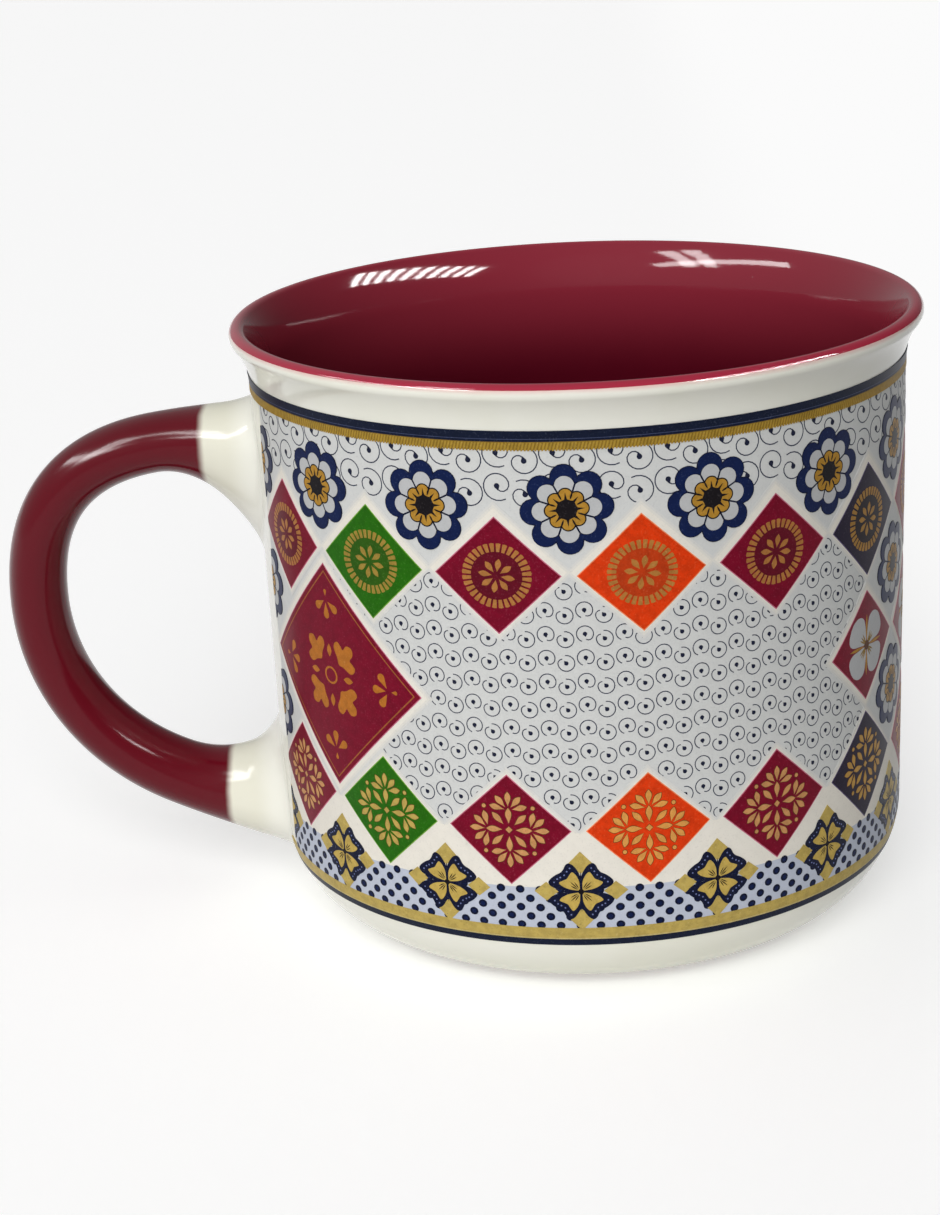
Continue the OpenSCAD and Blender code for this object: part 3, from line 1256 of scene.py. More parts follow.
    def _root(self, outer_u: float, end_u: float) -> list[np.ndarray]:
        """Returns the rings of one end, from the grip to inside the wall.

        Args:
            outer_u: place where the grip's glaze stops.
            end_u: the end of the centre line, inside the wall.

        Returns:
            Rings along the end and down its fillet.
        """
        lines = np.stack([self.ring(u) for u in np.linspace(outer_u, end_u, self.fine_rings)])
        gaps = self._gap(lines)
        meet = np.argmax(gaps < 0, axis=0)
        leave = np.argmax(gaps < self.fillet_l, axis=0)
        side = np.arange(self.sides)
        rings = []
        for share in np.linspace(0, 1, self.root_rings):
            rings.append(lines[np.round(leave * share).astype(int), side])
        start, crease = lines[leave, side], self._on_wall(lines[meet, side], 0.0)
        landing = self._landing(crease)
        way = lines[leave + self.lean_rings, side] - start
        reach = np.linalg.norm(crease - start, axis=1) * self.fillet_pull
        lean = start + way / np.linalg.norm(way, axis=1)[:, None] * reach[:, None]
        low = crease + (landing - crease) * self.fillet_low
        for share in np.linspace(0, 1, self.fillet_rings + 1)[1:]:
            rest = 1 - share
            near = rest**3 * start + 3 * share * rest**2 * lean
            rings.append(near + 3 * share**2 * rest * low + share**3 * landing)
        rings.append(self._on_wall(landing, -self.anchor))
        return rings

    def _landing(self, crease: np.ndarray) -> np.ndarray:
        """Returns where the fillet runs out on the wall.

        Args:
            crease: the ring on the wall where the plain tube would meet it.

        Returns:
            A wider ring on the wall.
        """
        a = np.linspace(0, 2 * np.pi, self.sides, endpoint=False)
        inner = np.square(np.maximum(-np.cos(a), 0))
        outer = np.square(np.maximum(np.cos(a), 0))
        width = self.fillet_side + inner * (self.fillet_in - self.fillet_side)
        width = width + outer * (self.fillet_out - self.fillet_side)
        radius = self.profile.throat_r
        round_the_wall = np.arctan2(crease[:, 1], -crease[:, 0]) * radius
        flat = np.stack([round_the_wall, crease[:, 2]], axis=1)
        middle = flat.mean(axis=0)
        way = flat - middle
        way = way / np.linalg.norm(way, axis=1)[:, None]
        moved = flat + way * width[:, None]
        angle = moved[:, 0] / radius
        out = np.stack([-np.cos(angle) * radius, np.sin(angle) * radius, moved[:, 1]], axis=1)
        return self._on_wall(out, -self.cover)

    def _skin(self, name: str, rings: list[np.ndarray], material: bpy.types.Material) -> bpy.types.Object:
        """Joins rings into a closed piece.

        Args:
            name: the piece's name.
            rings: rings of equal count, in order.
            material: its finish.

        Returns:
            The piece.
        """
        n = self.sides
        faces = [
            (i * n + k, i * n + (k + 1) % n, (i + 1) * n + (k + 1) % n, (i + 1) * n + k)
            for i in range(len(rings) - 1)
            for k in range(n)
        ]
        mesh = mesh_of(name, np.concatenate(rings), faces)
        mesh.materials.append(material)
        close_and_smooth(mesh)
        return new_object(name, mesh)


def polar(r: float, a: float) -> Point:
    """Returns the point at that radius and angle in degrees."""
    return (r * math.cos(math.radians(a)), r * math.sin(math.radians(a)))


def moved(loop: Loop, x: float = 0.0, y: float = 0.0, turn: float = 0.0) -> Loop:
    """Returns a loop turned about the origin and then moved.

    Args:
        loop: the outline.
        x: move to the right.
        y: move up.
        turn: angle, against the clock.

    Returns:
        The new outline.
    """
    c, s = math.cos(math.radians(turn)), math.sin(math.radians(turn))
    return tuple((x + c * px - s * py, y + s * px + c * py) for px, py in loop)


def ellipse(rx: float, ry: float, count: int = 24) -> Loop:
    """Returns an ellipse about the origin."""
    angles = [2 * math.pi * k / count for k in range(count)]
    return tuple((rx * math.cos(a), ry * math.sin(a)) for a in angles)


def lozenge(half_w: float, half_h: float) -> Loop:
    """Returns a lozenge about the origin."""
    return ((half_w, 0.0), (0.0, half_h), (-half_w, 0.0), (0.0, -half_h))


def leaf(start: float, end: float, half_w: float, fullness: float = 1.0, count: int = 10) -> Loop:
    """Returns a leaf along +x, pointed at both ends.

    Args:
        start: where it starts.
        end: where it ends.
        half_w: half its greatest width.
        fullness: over 1 moves its widest part towards the end.
        count: points along one side.

    Returns:
        The outline.
    """
    shares = [k / count for k in range(count + 1)]
    upper = [(start + (end - start) * s, half_w * math.sin(math.pi * s**fullness)) for s in shares]
    lower = [(x, -y) for x, y in upper[-2:0:-1]]
    return tuple(upper[::-1] + lower[::-1])


def teardrop(start: float, end: float, half_w: float, count: int = 8) -> Loop:
    """Returns a teardrop along +x, pointed at its start and round at its end.

    Args:
        start: its point.
        end: the far side of its round end.
        half_w: radius of its round end.
        count: points round the end.

    Returns:
        The outline.
    """
    centre = end - half_w
    arc = [polar(half_w, -105 + 210 * k / count) for k in range(count + 1)]
    return ((start, 0.0), *((centre + x, y) for x, y in arc))


def lobe_reach(ring_r: float, lobe_r: float, a: float) -> float:
    """Returns how far a round lobe reaches from the ring's centre, at an angle from the lobe's own axis."""
    across = ring_r * math.sin(math.radians(a))
    return ring_r * math.cos(math.radians(a)) + math.sqrt(max(0.0, lobe_r**2 - across**2))


def lobed(ring_r: float, lobe_r: float, lobes: int, turn: float = 0.0, count: int = 10) -> Loop:
    """Returns the outline of a ring of overlapping round lobes.

    Args:
        ring_r: radius of the ring of lobe centres.
        lobe_r: radius of each lobe.
        lobes: how many lobes.
        turn: angle of the first lobe.
        count: points on each lobe.

    Returns:
        The outline.
    """
    half = 180 / lobes
    points = []
    for k in range(lobes):
        for j in range(count):
            a = -half + 2 * half * j / count
            points.append(polar(lobe_reach(ring_r, lobe_r, a), turn + 2 * half * k + a))
    return tuple(points)


def rounded(points: Sequence[Point], steps: int = 4) -> Loop:
    """Returns a smooth closed curve through the given points.

    Args:
        points: places that the curve passes through.
        steps: points on each stretch.

    Returns:
        The outline.
    """
    ring = np.array(points, float)
    out = []
    for k in range(len(ring)):
        a, b, c, d = (ring[(k + j) % len(ring)] for j in (-1, 0, 1, 2))
        for j in range(steps):
            t = j / steps
            square = 2 * a - 5 * b + 4 * c - d
            cube = 3 * b - a - 3 * c + d
            spot = 0.5 * (2 * b + (c - a) * t + square * t**2 + cube * t**3)
            out.append((float(spot[0]), float(spot[1])))
    return tuple(out)


def trimmed(loop: Loop, limit: float, keep_right: bool) -> Loop:
    """Cuts a loop at an upright line.

    Args:
        loop: the outline.
        limit: where the line stands.
        keep_right: whether the part to the right stays.

    Returns:
        What is left, which may be empty.
    """
    sign = 1 if keep_right else -1
    out: list[Point] = []
    for (ax, ay), (bx, by) in zip(loop, loop[1:] + loop[:1]):
        a_in, b_in = sign * (ax - limit) >= 0, sign * (bx - limit) >= 0
        if a_in:
            out.append((ax, ay))
        if a_in != b_in:
            s = (limit - ax) / (bx - ax)
            out.append((limit, ay + (by - ay) * s))
    return tuple(out)


def quartered(loop: Loop) -> tuple[Loop, ...]:
    """Returns a loop of the first quarter mirrored into all four quarters."""
    corners = ((1, 1), (-1, 1), (-1, -1), (1, -1))
    return tuple(tuple((sx * x, sy * y) for x, y in loop[:: sx * sy]) for sx, sy in corners)


@dataclass(frozen=True)
class Pull:
    """What one pull of a screen prints of a motif: loops of one ink in one layer."""

    piece: str
    ink: Ink
    layer: Layer
    loops: tuple[Loop, ...]


@dataclass(frozen=True)
class Motif:
    """A figure of the print, drawn about its own centre."""

    def pulls(self) -> list[Pull]:
        """Returns what each ink prints."""
        raise NotImplementedError

    def half_width(self) -> float:
        """Returns how far the figure reaches to either side."""
        return max(abs(x) for pull in self.pulls() for loop in pull.loops for x, _ in loop)


@dataclass(frozen=True)
class Flower(Motif):
    """Round flower of the upper field: navy scallops, white petals, a gold lobed ring and a dark heart."""

    lobes: int = 8
    turn: float = 4.0
    scallop_at: float = 4.42
    scallop_r: float = 1.76
    scallop_rim: float = 0.1
    petal_at: float = 3.1
    petal_r: float = 1.41
    petal_rim: float = 0.13
    petal_inner_r: float = 2.3
    petal_gap: float = 0.08
    ring_at: float = 2.0
    ring_r: float = 0.86
    ring_rim: float = 0.18
    heart_r: float = 1.36
    ray_r: float = 2.4
    ray_a: float = 7.5

    def pulls(self) -> list[Pull]:
        """Returns what each ink prints."""
        step = 360 / self.lobes
        axes = [90 + self.turn + step * k for k in range(self.lobes)]
        petals = tuple(moved(self._petal(step / 2), turn=a) for a in axes)
        rim = lobed(self.scallop_at, self.scallop_r + self.scallop_rim, self.lobes, axes[0])
        scallops = lobed(self.scallop_at, self.scallop_r, self.lobes, axes[0])
        petal_rim = lobed(self.petal_at, self.petal_r + self.petal_rim, self.lobes, axes[0])
        ring_rim = lobed(self.ring_at, self.ring_r + self.ring_rim, self.lobes, axes[0])
        ring = lobed(self.ring_at, self.ring_r, self.lobes, axes[0])
        folds = tuple(moved(leaf(1.45, 2.84, 0.13, 0.8, 6), turn=a + step / 2) for a in axes)
        return [
            Pull("flower_rims", Ink.DEEP_NAVY, Layer.BLOCK, (rim,)),
            Pull("flower_scallops", Ink.NAVY, Layer.FIGURE, (scallops,)),
            Pull("flower_petal_rims", Ink.DEEP_NAVY, Layer.DETAIL, (petal_rim,)),
            Pull("flower_petals", Ink.PETAL, Layer.ACCENT, petals),
            Pull("flower_ring_rims", Ink.SOOT, Layer.RIM, (ring_rim,)),
            Pull("flower_rings", Ink.GOLD, Layer.RING, (ring,)),
            Pull("flower_hearts", Ink.SOOT, Layer.HEART, (self._heart(axes, step), *folds)),
        ]

    def _petal(self, half_a: float) -> Loop:
        """Returns one petal along +x, just clear of its neighbours."""
        angles = [-half_a + 2 * half_a * j / 12 for j in range(13)]
        outer = [polar(lobe_reach(self.petal_at, self.petal_r, a), a) for a in angles]
        inner = [polar(self.petal_inner_r, a) for a in (half_a, 0, -half_a)]
        shift = self.petal_gap / math.sin(math.radians(half_a))
        widening = math.tan(math.radians(half_a))
        narrowed = [(x, y * (1 - self.petal_gap / max(0.4, x * widening))) for x, y in outer + inner]
        return tuple((x + shift * 0.6, y) for x, y in narrowed)

    def _heart(self, axes: Sequence[float], step: float) -> Loop:
        """Returns the dark heart with one ray to each lobe."""
        shoulder_r = self.heart_r * 1.06
        points = []
        for a in axes:
            points += [polar(shoulder_r, a - self.ray_a), polar(self.ray_r, a)]
            points += [polar(shoulder_r, a + self.ray_a), polar(self.heart_r, a + step / 2)]
        return tuple(points)


@dataclass(frozen=True)
class PlainLozenge(Motif):
    """Field of a lozenge with the pale margin round it."""

    hue: Hue
    half_w: float = 8.6
    half_h: float = 8.1
    margin: float = 0.4
    lift: float = 0.0
    fringe: float = 0.2
    halo_step: float = 0.45

    def pulls(self) -> list[Pull]:
        """Returns what each ink prints."""
        steps = [self.margin + self.halo_step * k for k in (2, 1, 0)]
        halo, edge, margin = (self._widened(grow, self.lift) for grow in steps)
        return [
            Pull("lozenge_halos", Ink.HALO, Layer.HALO, (halo,)),
            Pull("lozenge_margin_edges", Ink.MARGIN_EDGE, Layer.EDGE, (edge,)),
            Pull("lozenge_margins", Ink.MARGIN, Layer.MARGIN, (margin,)),
            Pull(self.hue.label + "_fringes", self.hue.fringe, Layer.FRINGE, (self._widened(self.fringe),)),
            Pull(self.hue.label + "_lozenges", self.hue.ink, Layer.BLOCK, (self._widened(0.0),)),
        ]

    def _widened(self, grow: float, lift: float = 0.0) -> Loop:
        """Returns the lozenge widened by grow and shifted up by lift."""
        return moved(lozenge(self.half_w + grow, self.half_h + grow), y=lift)


@dataclass(frozen=True)
class RingLozenge(PlainLozenge):
    """Lozenge of the upper row: a ring of gold dashes round a gold rosette."""

    margin: float = 0.9
    lift: float = 0.5
    dashes: int = 32
    petals: int = 8
    petal_turn: float = -10.0
    disc_rx: float = 4.2
    disc_ry: float = 4.05
    squeeze: float = 0.955

    def pulls(self) -> list[Pull]:
        """Returns what each ink prints."""
        disc = ellipse(self.disc_rx, self.disc_ry, 48)
        dash = ((3.55, -0.22), (4.75, -0.33), (4.83, 0.0), (4.75, 0.33), (3.55, 0.22))
        ring = tuple(moved(dash, turn=360 * (k + 0.5) / self.dashes) for k in range(self.dashes))
        petal = leaf(0.6, 2.55, 0.42, 1.35)
        turns = [self.petal_turn + 360 * k / self.petals for k in range(self.petals)]
        rosette = tuple(moved(petal, turn=a) for a in turns)
        gold = tuple(tuple((x, y * self.squeeze) for x, y in loop) for loop in ring + rosette)
        return super().pulls() + [
            Pull(self.hue.label + "_discs", self.hue.disc, Layer.FIGURE, (disc,)),
            Pull(self.hue.label + "_rosettes", self.hue.ring, Layer.DETAIL, gold),
        ]


@dataclass(frozen=True)
class SprayLozenge(PlainLozenge):
    """Lozenge of the lower row: gold teardrops round a bead, with a fan at each corner."""

    margin: float = 0.9
    lift: float = -0.5
    rim: float = 0.09
    fan_at: float = 2.95
    fan_angles: tuple[float, ...] = (-77, -41, 0, 41, 77)

    def pulls(self) -> list[Pull]:
        """Returns what each ink prints."""
        return super().pulls() + [
            Pull("spray_rims", Ink.UMBER, Layer.FIGURE, self._figures(self.rim)),
            Pull(self.hue.label + "_sprays", self.hue.spray, Layer.DETAIL, self._figures(0.0)),
        ]

    def _figures(self, grow: float) -> tuple[Loop, ...]:
        """Returns the sprays, widened by grow."""
        loops = [lozenge(0.5 + grow, 0.5 + grow)]
        for k in range(4):
            axis = 90 * k
            loops.append(moved(leaf(0.95 - grow, 3.3 + grow, 0.44 + grow, 1.3), turn=axis))
            loops.append(moved(leaf(1.1 - grow, 3.45 + grow, 0.42 + grow, 1.3), turn=axis + 43))
            for a in self.fan_angles:
                blade = moved(leaf(0.55 - grow, 2.75 + grow, 0.43 + grow, 1.45), turn=a)
                loops.append(moved(moved(blade, x=self.fan_at), turn=axis))
        bead = moved(ellipse(0.3 + grow, 0.3 + grow, 10), 3.5, 3.4)
        return tuple(loops) + quartered(bead)


@dataclass(frozen=True)
class GreatLozenge(PlainLozenge):
    """The tall lozenge between two panels: a gold border line, four tulips, a ring and sprays."""

    half_w: float = 17.0
    half_h: float = 16.6
    margin: float = 1.1
    line_inset: float = 0.9
    line_w: float = 0.26

    def pulls(self) -> list[Pull]:
        """Returns what each ink prints."""
        return super().pulls() + [
            Pull("great_border", Ink.BRONZE, Layer.FIGURE, self._border()),
            Pull("great_figures", Ink.AMBER, Layer.FIGURE, self._figures()),
            Pull("great_ring_eyes", self.hue.ink, Layer.DETAIL, (ellipse(1.12, 1.02, 20),)),
        ]

    def _border(self) -> tuple[Loop, ...]:
        """Returns the four strips of the border line."""
        near, far = self.line_inset, self.line_inset + self.line_w
        out = lozenge(self.half_w - near, self.half_h - near)
        back = lozenge(self.half_w - far, self.half_h - far)
        return tuple((out[k], out[(k + 1) % 4], back[(k + 1) % 4], back[k]) for k in range(4))

    def _figures(self) -> tuple[Loop, ...]:
        """Returns the tulips, leaves, ring and corner sprays."""
        tulip = rounded([
            (2.05, 2.05), (1.75, 3.1), (1.15, 4.3), (1.35, 5.15), (2.05, 5.45), (2.65, 4.95), (3.1, 4.45),
            (3.9, 5.2), (4.95, 5.0), (5.1, 4.0), (4.45, 3.15), (4.95, 2.65), (5.45, 2.05), (5.1, 1.35),
            (4.3, 1.15), (3.1, 1.75),
        ])
        loops = [ellipse(1.45, 1.32, 28)]
        loops += quartered(tulip)
        for k in range(4):
            reach = 1.0 if k % 2 == 0 else 0.98
            loops.append(moved(leaf(2.85 * reach, 4.85 * reach, 0.5), turn=90 * k))
            for a in (-58, 0, 58):
                drop = moved(teardrop(0.5, 2.85, 0.62), turn=180 + a)
                loops.append(moved(moved(drop, x=11.6 * reach), turn=90 * k))
            loops.append(moved(moved(teardrop(-0.55, 0.45, 0.3), x=12.7 * reach), turn=90 * k))
        return tuple(loops)


@dataclass(frozen=True)
class BlossomLozenge(PlainLozenge):
    """Lozenge of the middle row: a white four-petalled blossom."""

    margin: float = 0.9

    def pulls(self) -> list[Pull]:
        """Returns what each ink prints."""
        petal = rounded([
            (0.3, 0.3), (0.3, 2.3), (0.8, 4.0), (2.1, 4.6), (3.5, 4.1), (4.4, 2.9), (4.7, 1.5), (3.9, 0.6),
            (2.1, 0.3),
        ])
        stamens = tuple(moved(leaf(0.5, 4.6, 0.22, 1.2), turn=90 * k) for k in range(4))
        ray_angles = [45 + 90 * k + a for k in range(4) for a in (-14, 0, 14)]
        rays = tuple(moved(leaf(0.4, 2.2, 0.12), turn=a) for a in ray_angles)
        return super().pulls() + [
            Pull("blossom_petals", Ink.PETAL, Layer.FIGURE, quartered(petal)),
            Pull("blossom_stamens", Ink.GOLD, Layer.DETAIL, stamens),
            Pull("blossom_rays", Ink.OCHRE, Layer.ACCENT, rays),
            Pull("blossom_hearts", Ink.UMBER, Layer.RIM, (ellipse(0.7, 0.7, 16),)),
        ]


@dataclass(frozen=True)
class Quatrefoil(Motif):
    """Four-winged figure of the lower band, with a gold lozenge behind each corner."""

    def pulls(self) -> list[Pull]:
        """Returns what each ink prints."""
        wing = rounded([
            (0.05, 0.05), (0.08, 1.3), (0.13, 2.5), (0.6, 3.45), (1.1, 4.05), (1.65, 4.28), (2.1, 4.0),
            (2.45, 3.3), (2.85, 2.85), (3.5, 2.5), (4.2, 1.95), (4.55, 1.35), (4.1, 0.72), (2.8, 0.22),
            (1.4, 0.08),
        ])
        heart = rounded([
            (0.25, 0.22), (0.2, 0.9), (0.28, 1.65), (0.68, 2.5), (1.2, 2.95), (1.6, 2.5), (1.95, 1.95),
            (2.55, 1.65), (3.05, 1.35), (2.65, 0.85), (1.8, 0.42), (0.9, 0.22),
        ])
        spots = ((1.5, 3.55), (1.92, 3.05), (2.3, 2.5), (2.85, 2.15), (3.3, 1.9), (3.75, 1.4))
        beads = [quartered(moved(ellipse(0.12, 0.12, 6), x, y)) for x, y in spots]
        sides = tuple(moved(lozenge(1.7, 1.42), x) for x in (-4.87, 4.87))
        ends = tuple(moved(lozenge(1.6, 1.7), 0.0, y) for y in (-4.35, 4.35))
        veins = tuple(
            moved(leaf(0.55, end, 0.075, 1.0, 6), turn=45 + 90 * k + a)
            for k in range(4)
            for a, end in ((-13, 1.75), (0, 2.15), (13, 1.75))
        )
        joins = tuple(moved(leaf(0.0, 3.1, 0.2, 0.6, 6), turn=90 * k) for k in range(4))
        return [
            Pull("quatrefoil_corners", Ink.BRASS, Layer.DETAIL, sides + ends),
            Pull("quatrefoil_wings", Ink.DEEP_NAVY, Layer.ACCENT, quartered(wing) + joins),
            Pull("quatrefoil_hearts", Ink.OLIVE_GOLD, Layer.RIM, quartered(heart)),
            Pull("quatrefoil_beads", Ink.PERIWINKLE, Layer.RIM, sum(beads, ())),
            Pull("quatrefoil_veins", Ink.SOOT, Layer.RING, veins),
            Pull("quatrefoil_eyes", Ink.SOOT, Layer.HEART, (ellipse(0.42, 0.42, 14),)),
        ]


@dataclass(frozen=True)
class Curl(Motif):
    """Drawn spiral of the ground: a comma whose tail winds out into a thin round line."""

    piece: str
    comma_r: float
    comma_l: float
    start_r: float
    outer_r: float
    turns: float
    line_w: float
    rise: float
    tail: float
    count: int = 20

    def pulls(self) -> list[Pull]:
        """Returns what each ink prints."""
        path = []
        for k in range(self.count + 1):
            s = k / self.count
            grown = math.sin(math.pi / 2 * min(1.0, s / self.rise))
            r = self.start_r + (self.outer_r - self.start_r) * grown + self.tail * s**4
            path.append(polar(r, 360 * self.turns * s))
        centre = np.array(path)
        way = np.gradient(centre, axis=0)
        side = np.stack([-way[:, 1], way[:, 0]], axis=1) / np.linalg.norm(way, axis=1)[:, None]
        half = self.line_w / 2
        ribbon = np.concatenate([centre - side * half, (centre + side * half)[::-1]])
        line = tuple((float(x), float(y)) for x, y in ribbon)
        comma = moved(teardrop(-self.comma_l, self.comma_r, self.comma_r, 7), turn=180)
        return [
            Pull(self.piece, Ink.CURL_LINE, Layer.FIELD, (line,)),
            Pull(self.piece + "_commas", Ink.CURL, Layer.COMMA, (comma,)),
        ]


@dataclass(frozen=True)
class BandDot(Motif):
    """Dot of the lower band, paler in its middle."""

    rx: float = 0.64
    ry: float = 0.60

    def pulls(self) -> list[Pull]:
        """Returns what each ink prints."""
        return [
            Pull("band_dots", Ink.DEEP_NAVY, Layer.BLOCK, (ellipse(self.rx, self.ry, 12),)),
            Pull("band_dot_eyes", Ink.NAVY, Layer.FIGURE, (ellipse(self.rx * 0.5, self.ry * 0.5, 8),)),
        ]


@dataclass(frozen=True)
class Tooth(Motif):
    """Slanted stroke of the roped gold line, from over its lower edge."""

    height: float
    overhang: float = 0.14
    width: float = 0.24
    slant: float = 0.16

    def pulls(self) -> list[Pull]:
        """Returns what the ink prints."""
        half, base, top = self.width / 2, -self.overhang, self.height
        low, high = -self.slant, self.slant
        loop = ((low - half, base), (low + half, base), (high + half, top), (high - half, top))
        return [Pull("gold_line_strokes", Ink.BRIGHT_GOLD, Layer.FIGURE, (loop,))]


@dataclass(frozen=True)
class Placing:
    """One motif set on the wall."""

    motif: Motif
    angle: float
    height: float
    turn: float = 0.0


@dataclass(frozen=True)
class Stripe:
    """Strip of one ink turned round the wall, with the angle left free on either side of the handle."""

    name: str
    ink: Ink
    layer: Layer
    low: float
    high: float
    bare_a: float
    slot: str = "print_ground"
    node: str = ""


@dataclass
class StampSet:
    """Stamps and places of one printed piece."""

    ink: Ink
    stamps: dict[Any, bpy.types.Object] = field(default_factory=dict)
    places: list[tuple[float, float, int, float]] = field(default_factory=list)


@dataclass
class PrintBand:
    """The fired print: its ground, its lines and every motif, laid out in a lattice round the wall."""

    profile: CupProfile
    wheel: Wheel
    finishes: Finishes
    bare_a: float = 19.5
    root_bare_a: float = 14.5
    pitch_a: float = 23.35
    flower_a: float = -2.2
    lozenge_a: float = 9.45
    flower_z: float = 74.1
    upper_z: float = 64.8
    upper_extra_z: float = 55.5
    middle_z: float = 46.0
    lower_extra_z: float = 36.8
    lower_z: float = 27.7
    quatrefoil_z: float = 18.6
    flower_columns: range = range(-3, 12)
    lozenge_columns: range = range(-3, 11)
    great_columns: tuple[int, ...] = (-2, 10)
    extra_columns: tuple[int, ...] = (-3, 3, 4, 5, 11)
    blossom_columns: tuple[int, ...] = (2, 3, 4, 5)
    upper_line_drop: float = 6.6
    upper_navy_w: float = 1.5
    upper_gold_w: float = 1.1
    lower_line_rise: float = 9.9
    lower_navy_w: float = 1.2
    lower_gold_w: float = 1.8
    dot_ground_w: float = 6.2
    hairline_w: float = 0.10
    dot_rows: int = 5
    dot_row_h: float = 1.36
    dot_step: float = 2.8
    dot_rise: float = 0.42
    first_dot_a: float = 1.2
    last_dot_a: float = 1.0
    tooth_step: float = 0.46
    upper_curl: Curl = Curl(
        "upper_curls", comma_r=0.38, comma_l=0.68, start_r=0.5, outer_r=1.70, turns=1.05, line_w=0.165,
        rise=0.25, tail=0.45,
    )
    upper_curl_rows: int = 2
    upper_curl_row_h: float = 4.6
    upper_curl_step: float = 3.78
    upper_curl_wave: float = 1.15
    upper_curl_drop: float = 0.35
    first_curl_a: float = 3.2
    panel_curl: Curl = Curl(
        "panel_curls", comma_r=0.31, comma_l=0.44, start_r=0.82, outer_r=1.14, turns=0.91, line_w=0.14,
        rise=0.15, tail=0.0,
    )
    panel_curl_rows: range = range(-6, 7)
    panel_curl_row_h: float = 3.4
    panel_curl_step: float = 2.64
    panel_curl_wave: float = 0.38
    upper_clear: Point = (10.4, 9.8)
    panel_clear: Point = (8.4, 7.9)
    great_clear: Point = (17.6, 17.2)
    blossom_clear: Point = (8.8, 8.3)
    reference_r: float = 48.0
    sunk: float = 0.02
    ground_t: float = 0.03
    layer_t: float = 0.012
    slice_w: float = 1.1
    slice_over: float = 3.0

    def build(self) -> None:
        """Makes the ground, the lines and the motifs."""
        for stripe in self._lines() + self._grounds():
            self._turn(stripe)
        sets: dict[str, StampSet] = {}
        curls = self._upper_curls() + self._panel_curls()
        for placing in self._lattice() + self._band() + curls + self._teeth():
            self._collect(sets, placing)
        tree = wrap_tree()
        for name, stamp_set in sets.items():
            self._print(name, stamp_set, tree)

    @property
    def start_a(self) -> float:
        """Angle at which the print starts, beside the handle."""
        return -90 + self.bare_a

    @property
    def end_a(self) -> float:
        """Angle at which the print ends, on the handle's other side."""
        return 270 - self.bare_a

    @property
    def print_top(self) -> float:
        """Height of the lower edge of the upper gold line."""
        return self.profile.cup_h - self.upper_line_drop - self.upper_navy_w - self.upper_gold_w

    @property
    def print_base(self) -> float:
        """Height of the upper edge of the lower gold line."""
        return self.lower_line_rise + self.lower_navy_w + self.lower_gold_w

    def column(self, first: float, k: int) -> float:
        """Returns the angle of a column of the lattice."""
        return first + self.pitch_a * k

    def angle_of(self, length: float) -> float:
        """Returns the angle that a length of the flat print covers."""
        return math.degrees(length / self.reference_r)

    def length_of(self, angle: float) -> float:
        """Returns the length that an angle covers in the flat print."""
        return math.radians(angle) * self.reference_r

    def top_of(self, layer: Layer) -> float:
        """Returns how far a layer's face stands out from the glaze."""
        return self.ground_t + self.layer_t * layer.value

    def _turn(self, stripe: Stripe) -> None:
        """Turns a stripe of print round the wall.

        Args:
            stripe: the stripe.
        """
        heights = np.linspace(stripe.low, stripe.high, max(3, math.ceil(stripe.high - stripe.low) + 1))
        radii = self.profile.wall_radius(heights)
        face = [(r + self.top_of(stripe.layer), z) for r, z in zip(radii, heights)]
        back = [(r - self.sunk, z) for r, z in zip(radii, heights)]
        line = face + back[::-1] + [face[0]]
        start, sweep = -90 + stripe.bare_a, 360 - 2 * stripe.bare_a
        piece = self.wheel.turn(stripe.name, line, self.finishes.ink(stripe.ink), start, sweep)
        finish_piece(piece, stripe.node)

    def _lines(self) -> list[Stripe]:
        """Returns the navy and gold lines at the top and foot of the print."""
        top = self.profile.cup_h - self.upper_line_drop
        middle, edge = top - self.upper_navy_w, self.print_top
        head = top - self.upper_navy_w * 0.72
        low, base = self.lower_line_rise, self.print_base
        joint = low + self.lower_navy_w
        hair, bare = self.hairline_w, self.root_bare_a
        navy, gold = "navy_print", "gold_print"
        block, figure, detail = Layer.BLOCK, Layer.FIGURE, Layer.DETAIL
        return [
            Stripe("upper_navy_stripe", Ink.LINE_NAVY, block, middle, top, 0.0, navy, "upper_navy_line"),
            Stripe("upper_hairline", Ink.SLATE, figure, head - hair, head, 0.0, navy),
            Stripe("upper_gold_stripe", Ink.OCHRE, block, edge, middle, 0.0, gold, "upper_gold_line"),
            Stripe("lower_gold_stripe", Ink.BRASS, figure, joint, base, bare, gold, "lower_gold_line"),
            Stripe("lower_hairline", Ink.PALE_GOLD, detail, joint - hair, joint + hair, bare, gold),
            Stripe("lower_navy_stripe", Ink.LINE_NAVY, block, low, joint, bare, navy, "lower_navy_line"),
        ]

    def _grounds(self) -> list[Stripe]:
        """Returns the sheet's own ground, the pale foot of the pattern and the dotted band's lilac."""
        base, bare = self.print_base, self.bare_a
        sheet_top, dots_top = self.print_top + 0.3, base + self.dot_ground_w
        return [
            Stripe("print_ground", Ink.GROUND, Layer.GROUND, base, sheet_top, bare, node="print_sheet"),
            Stripe("pale_foot", Ink.MARGIN, Layer.MARGIN, base, self.lower_z - 0.3, bare),
            Stripe("dot_ground", Ink.LILAC, Layer.BAND, base - 0.1, dots_top, bare),
        ]

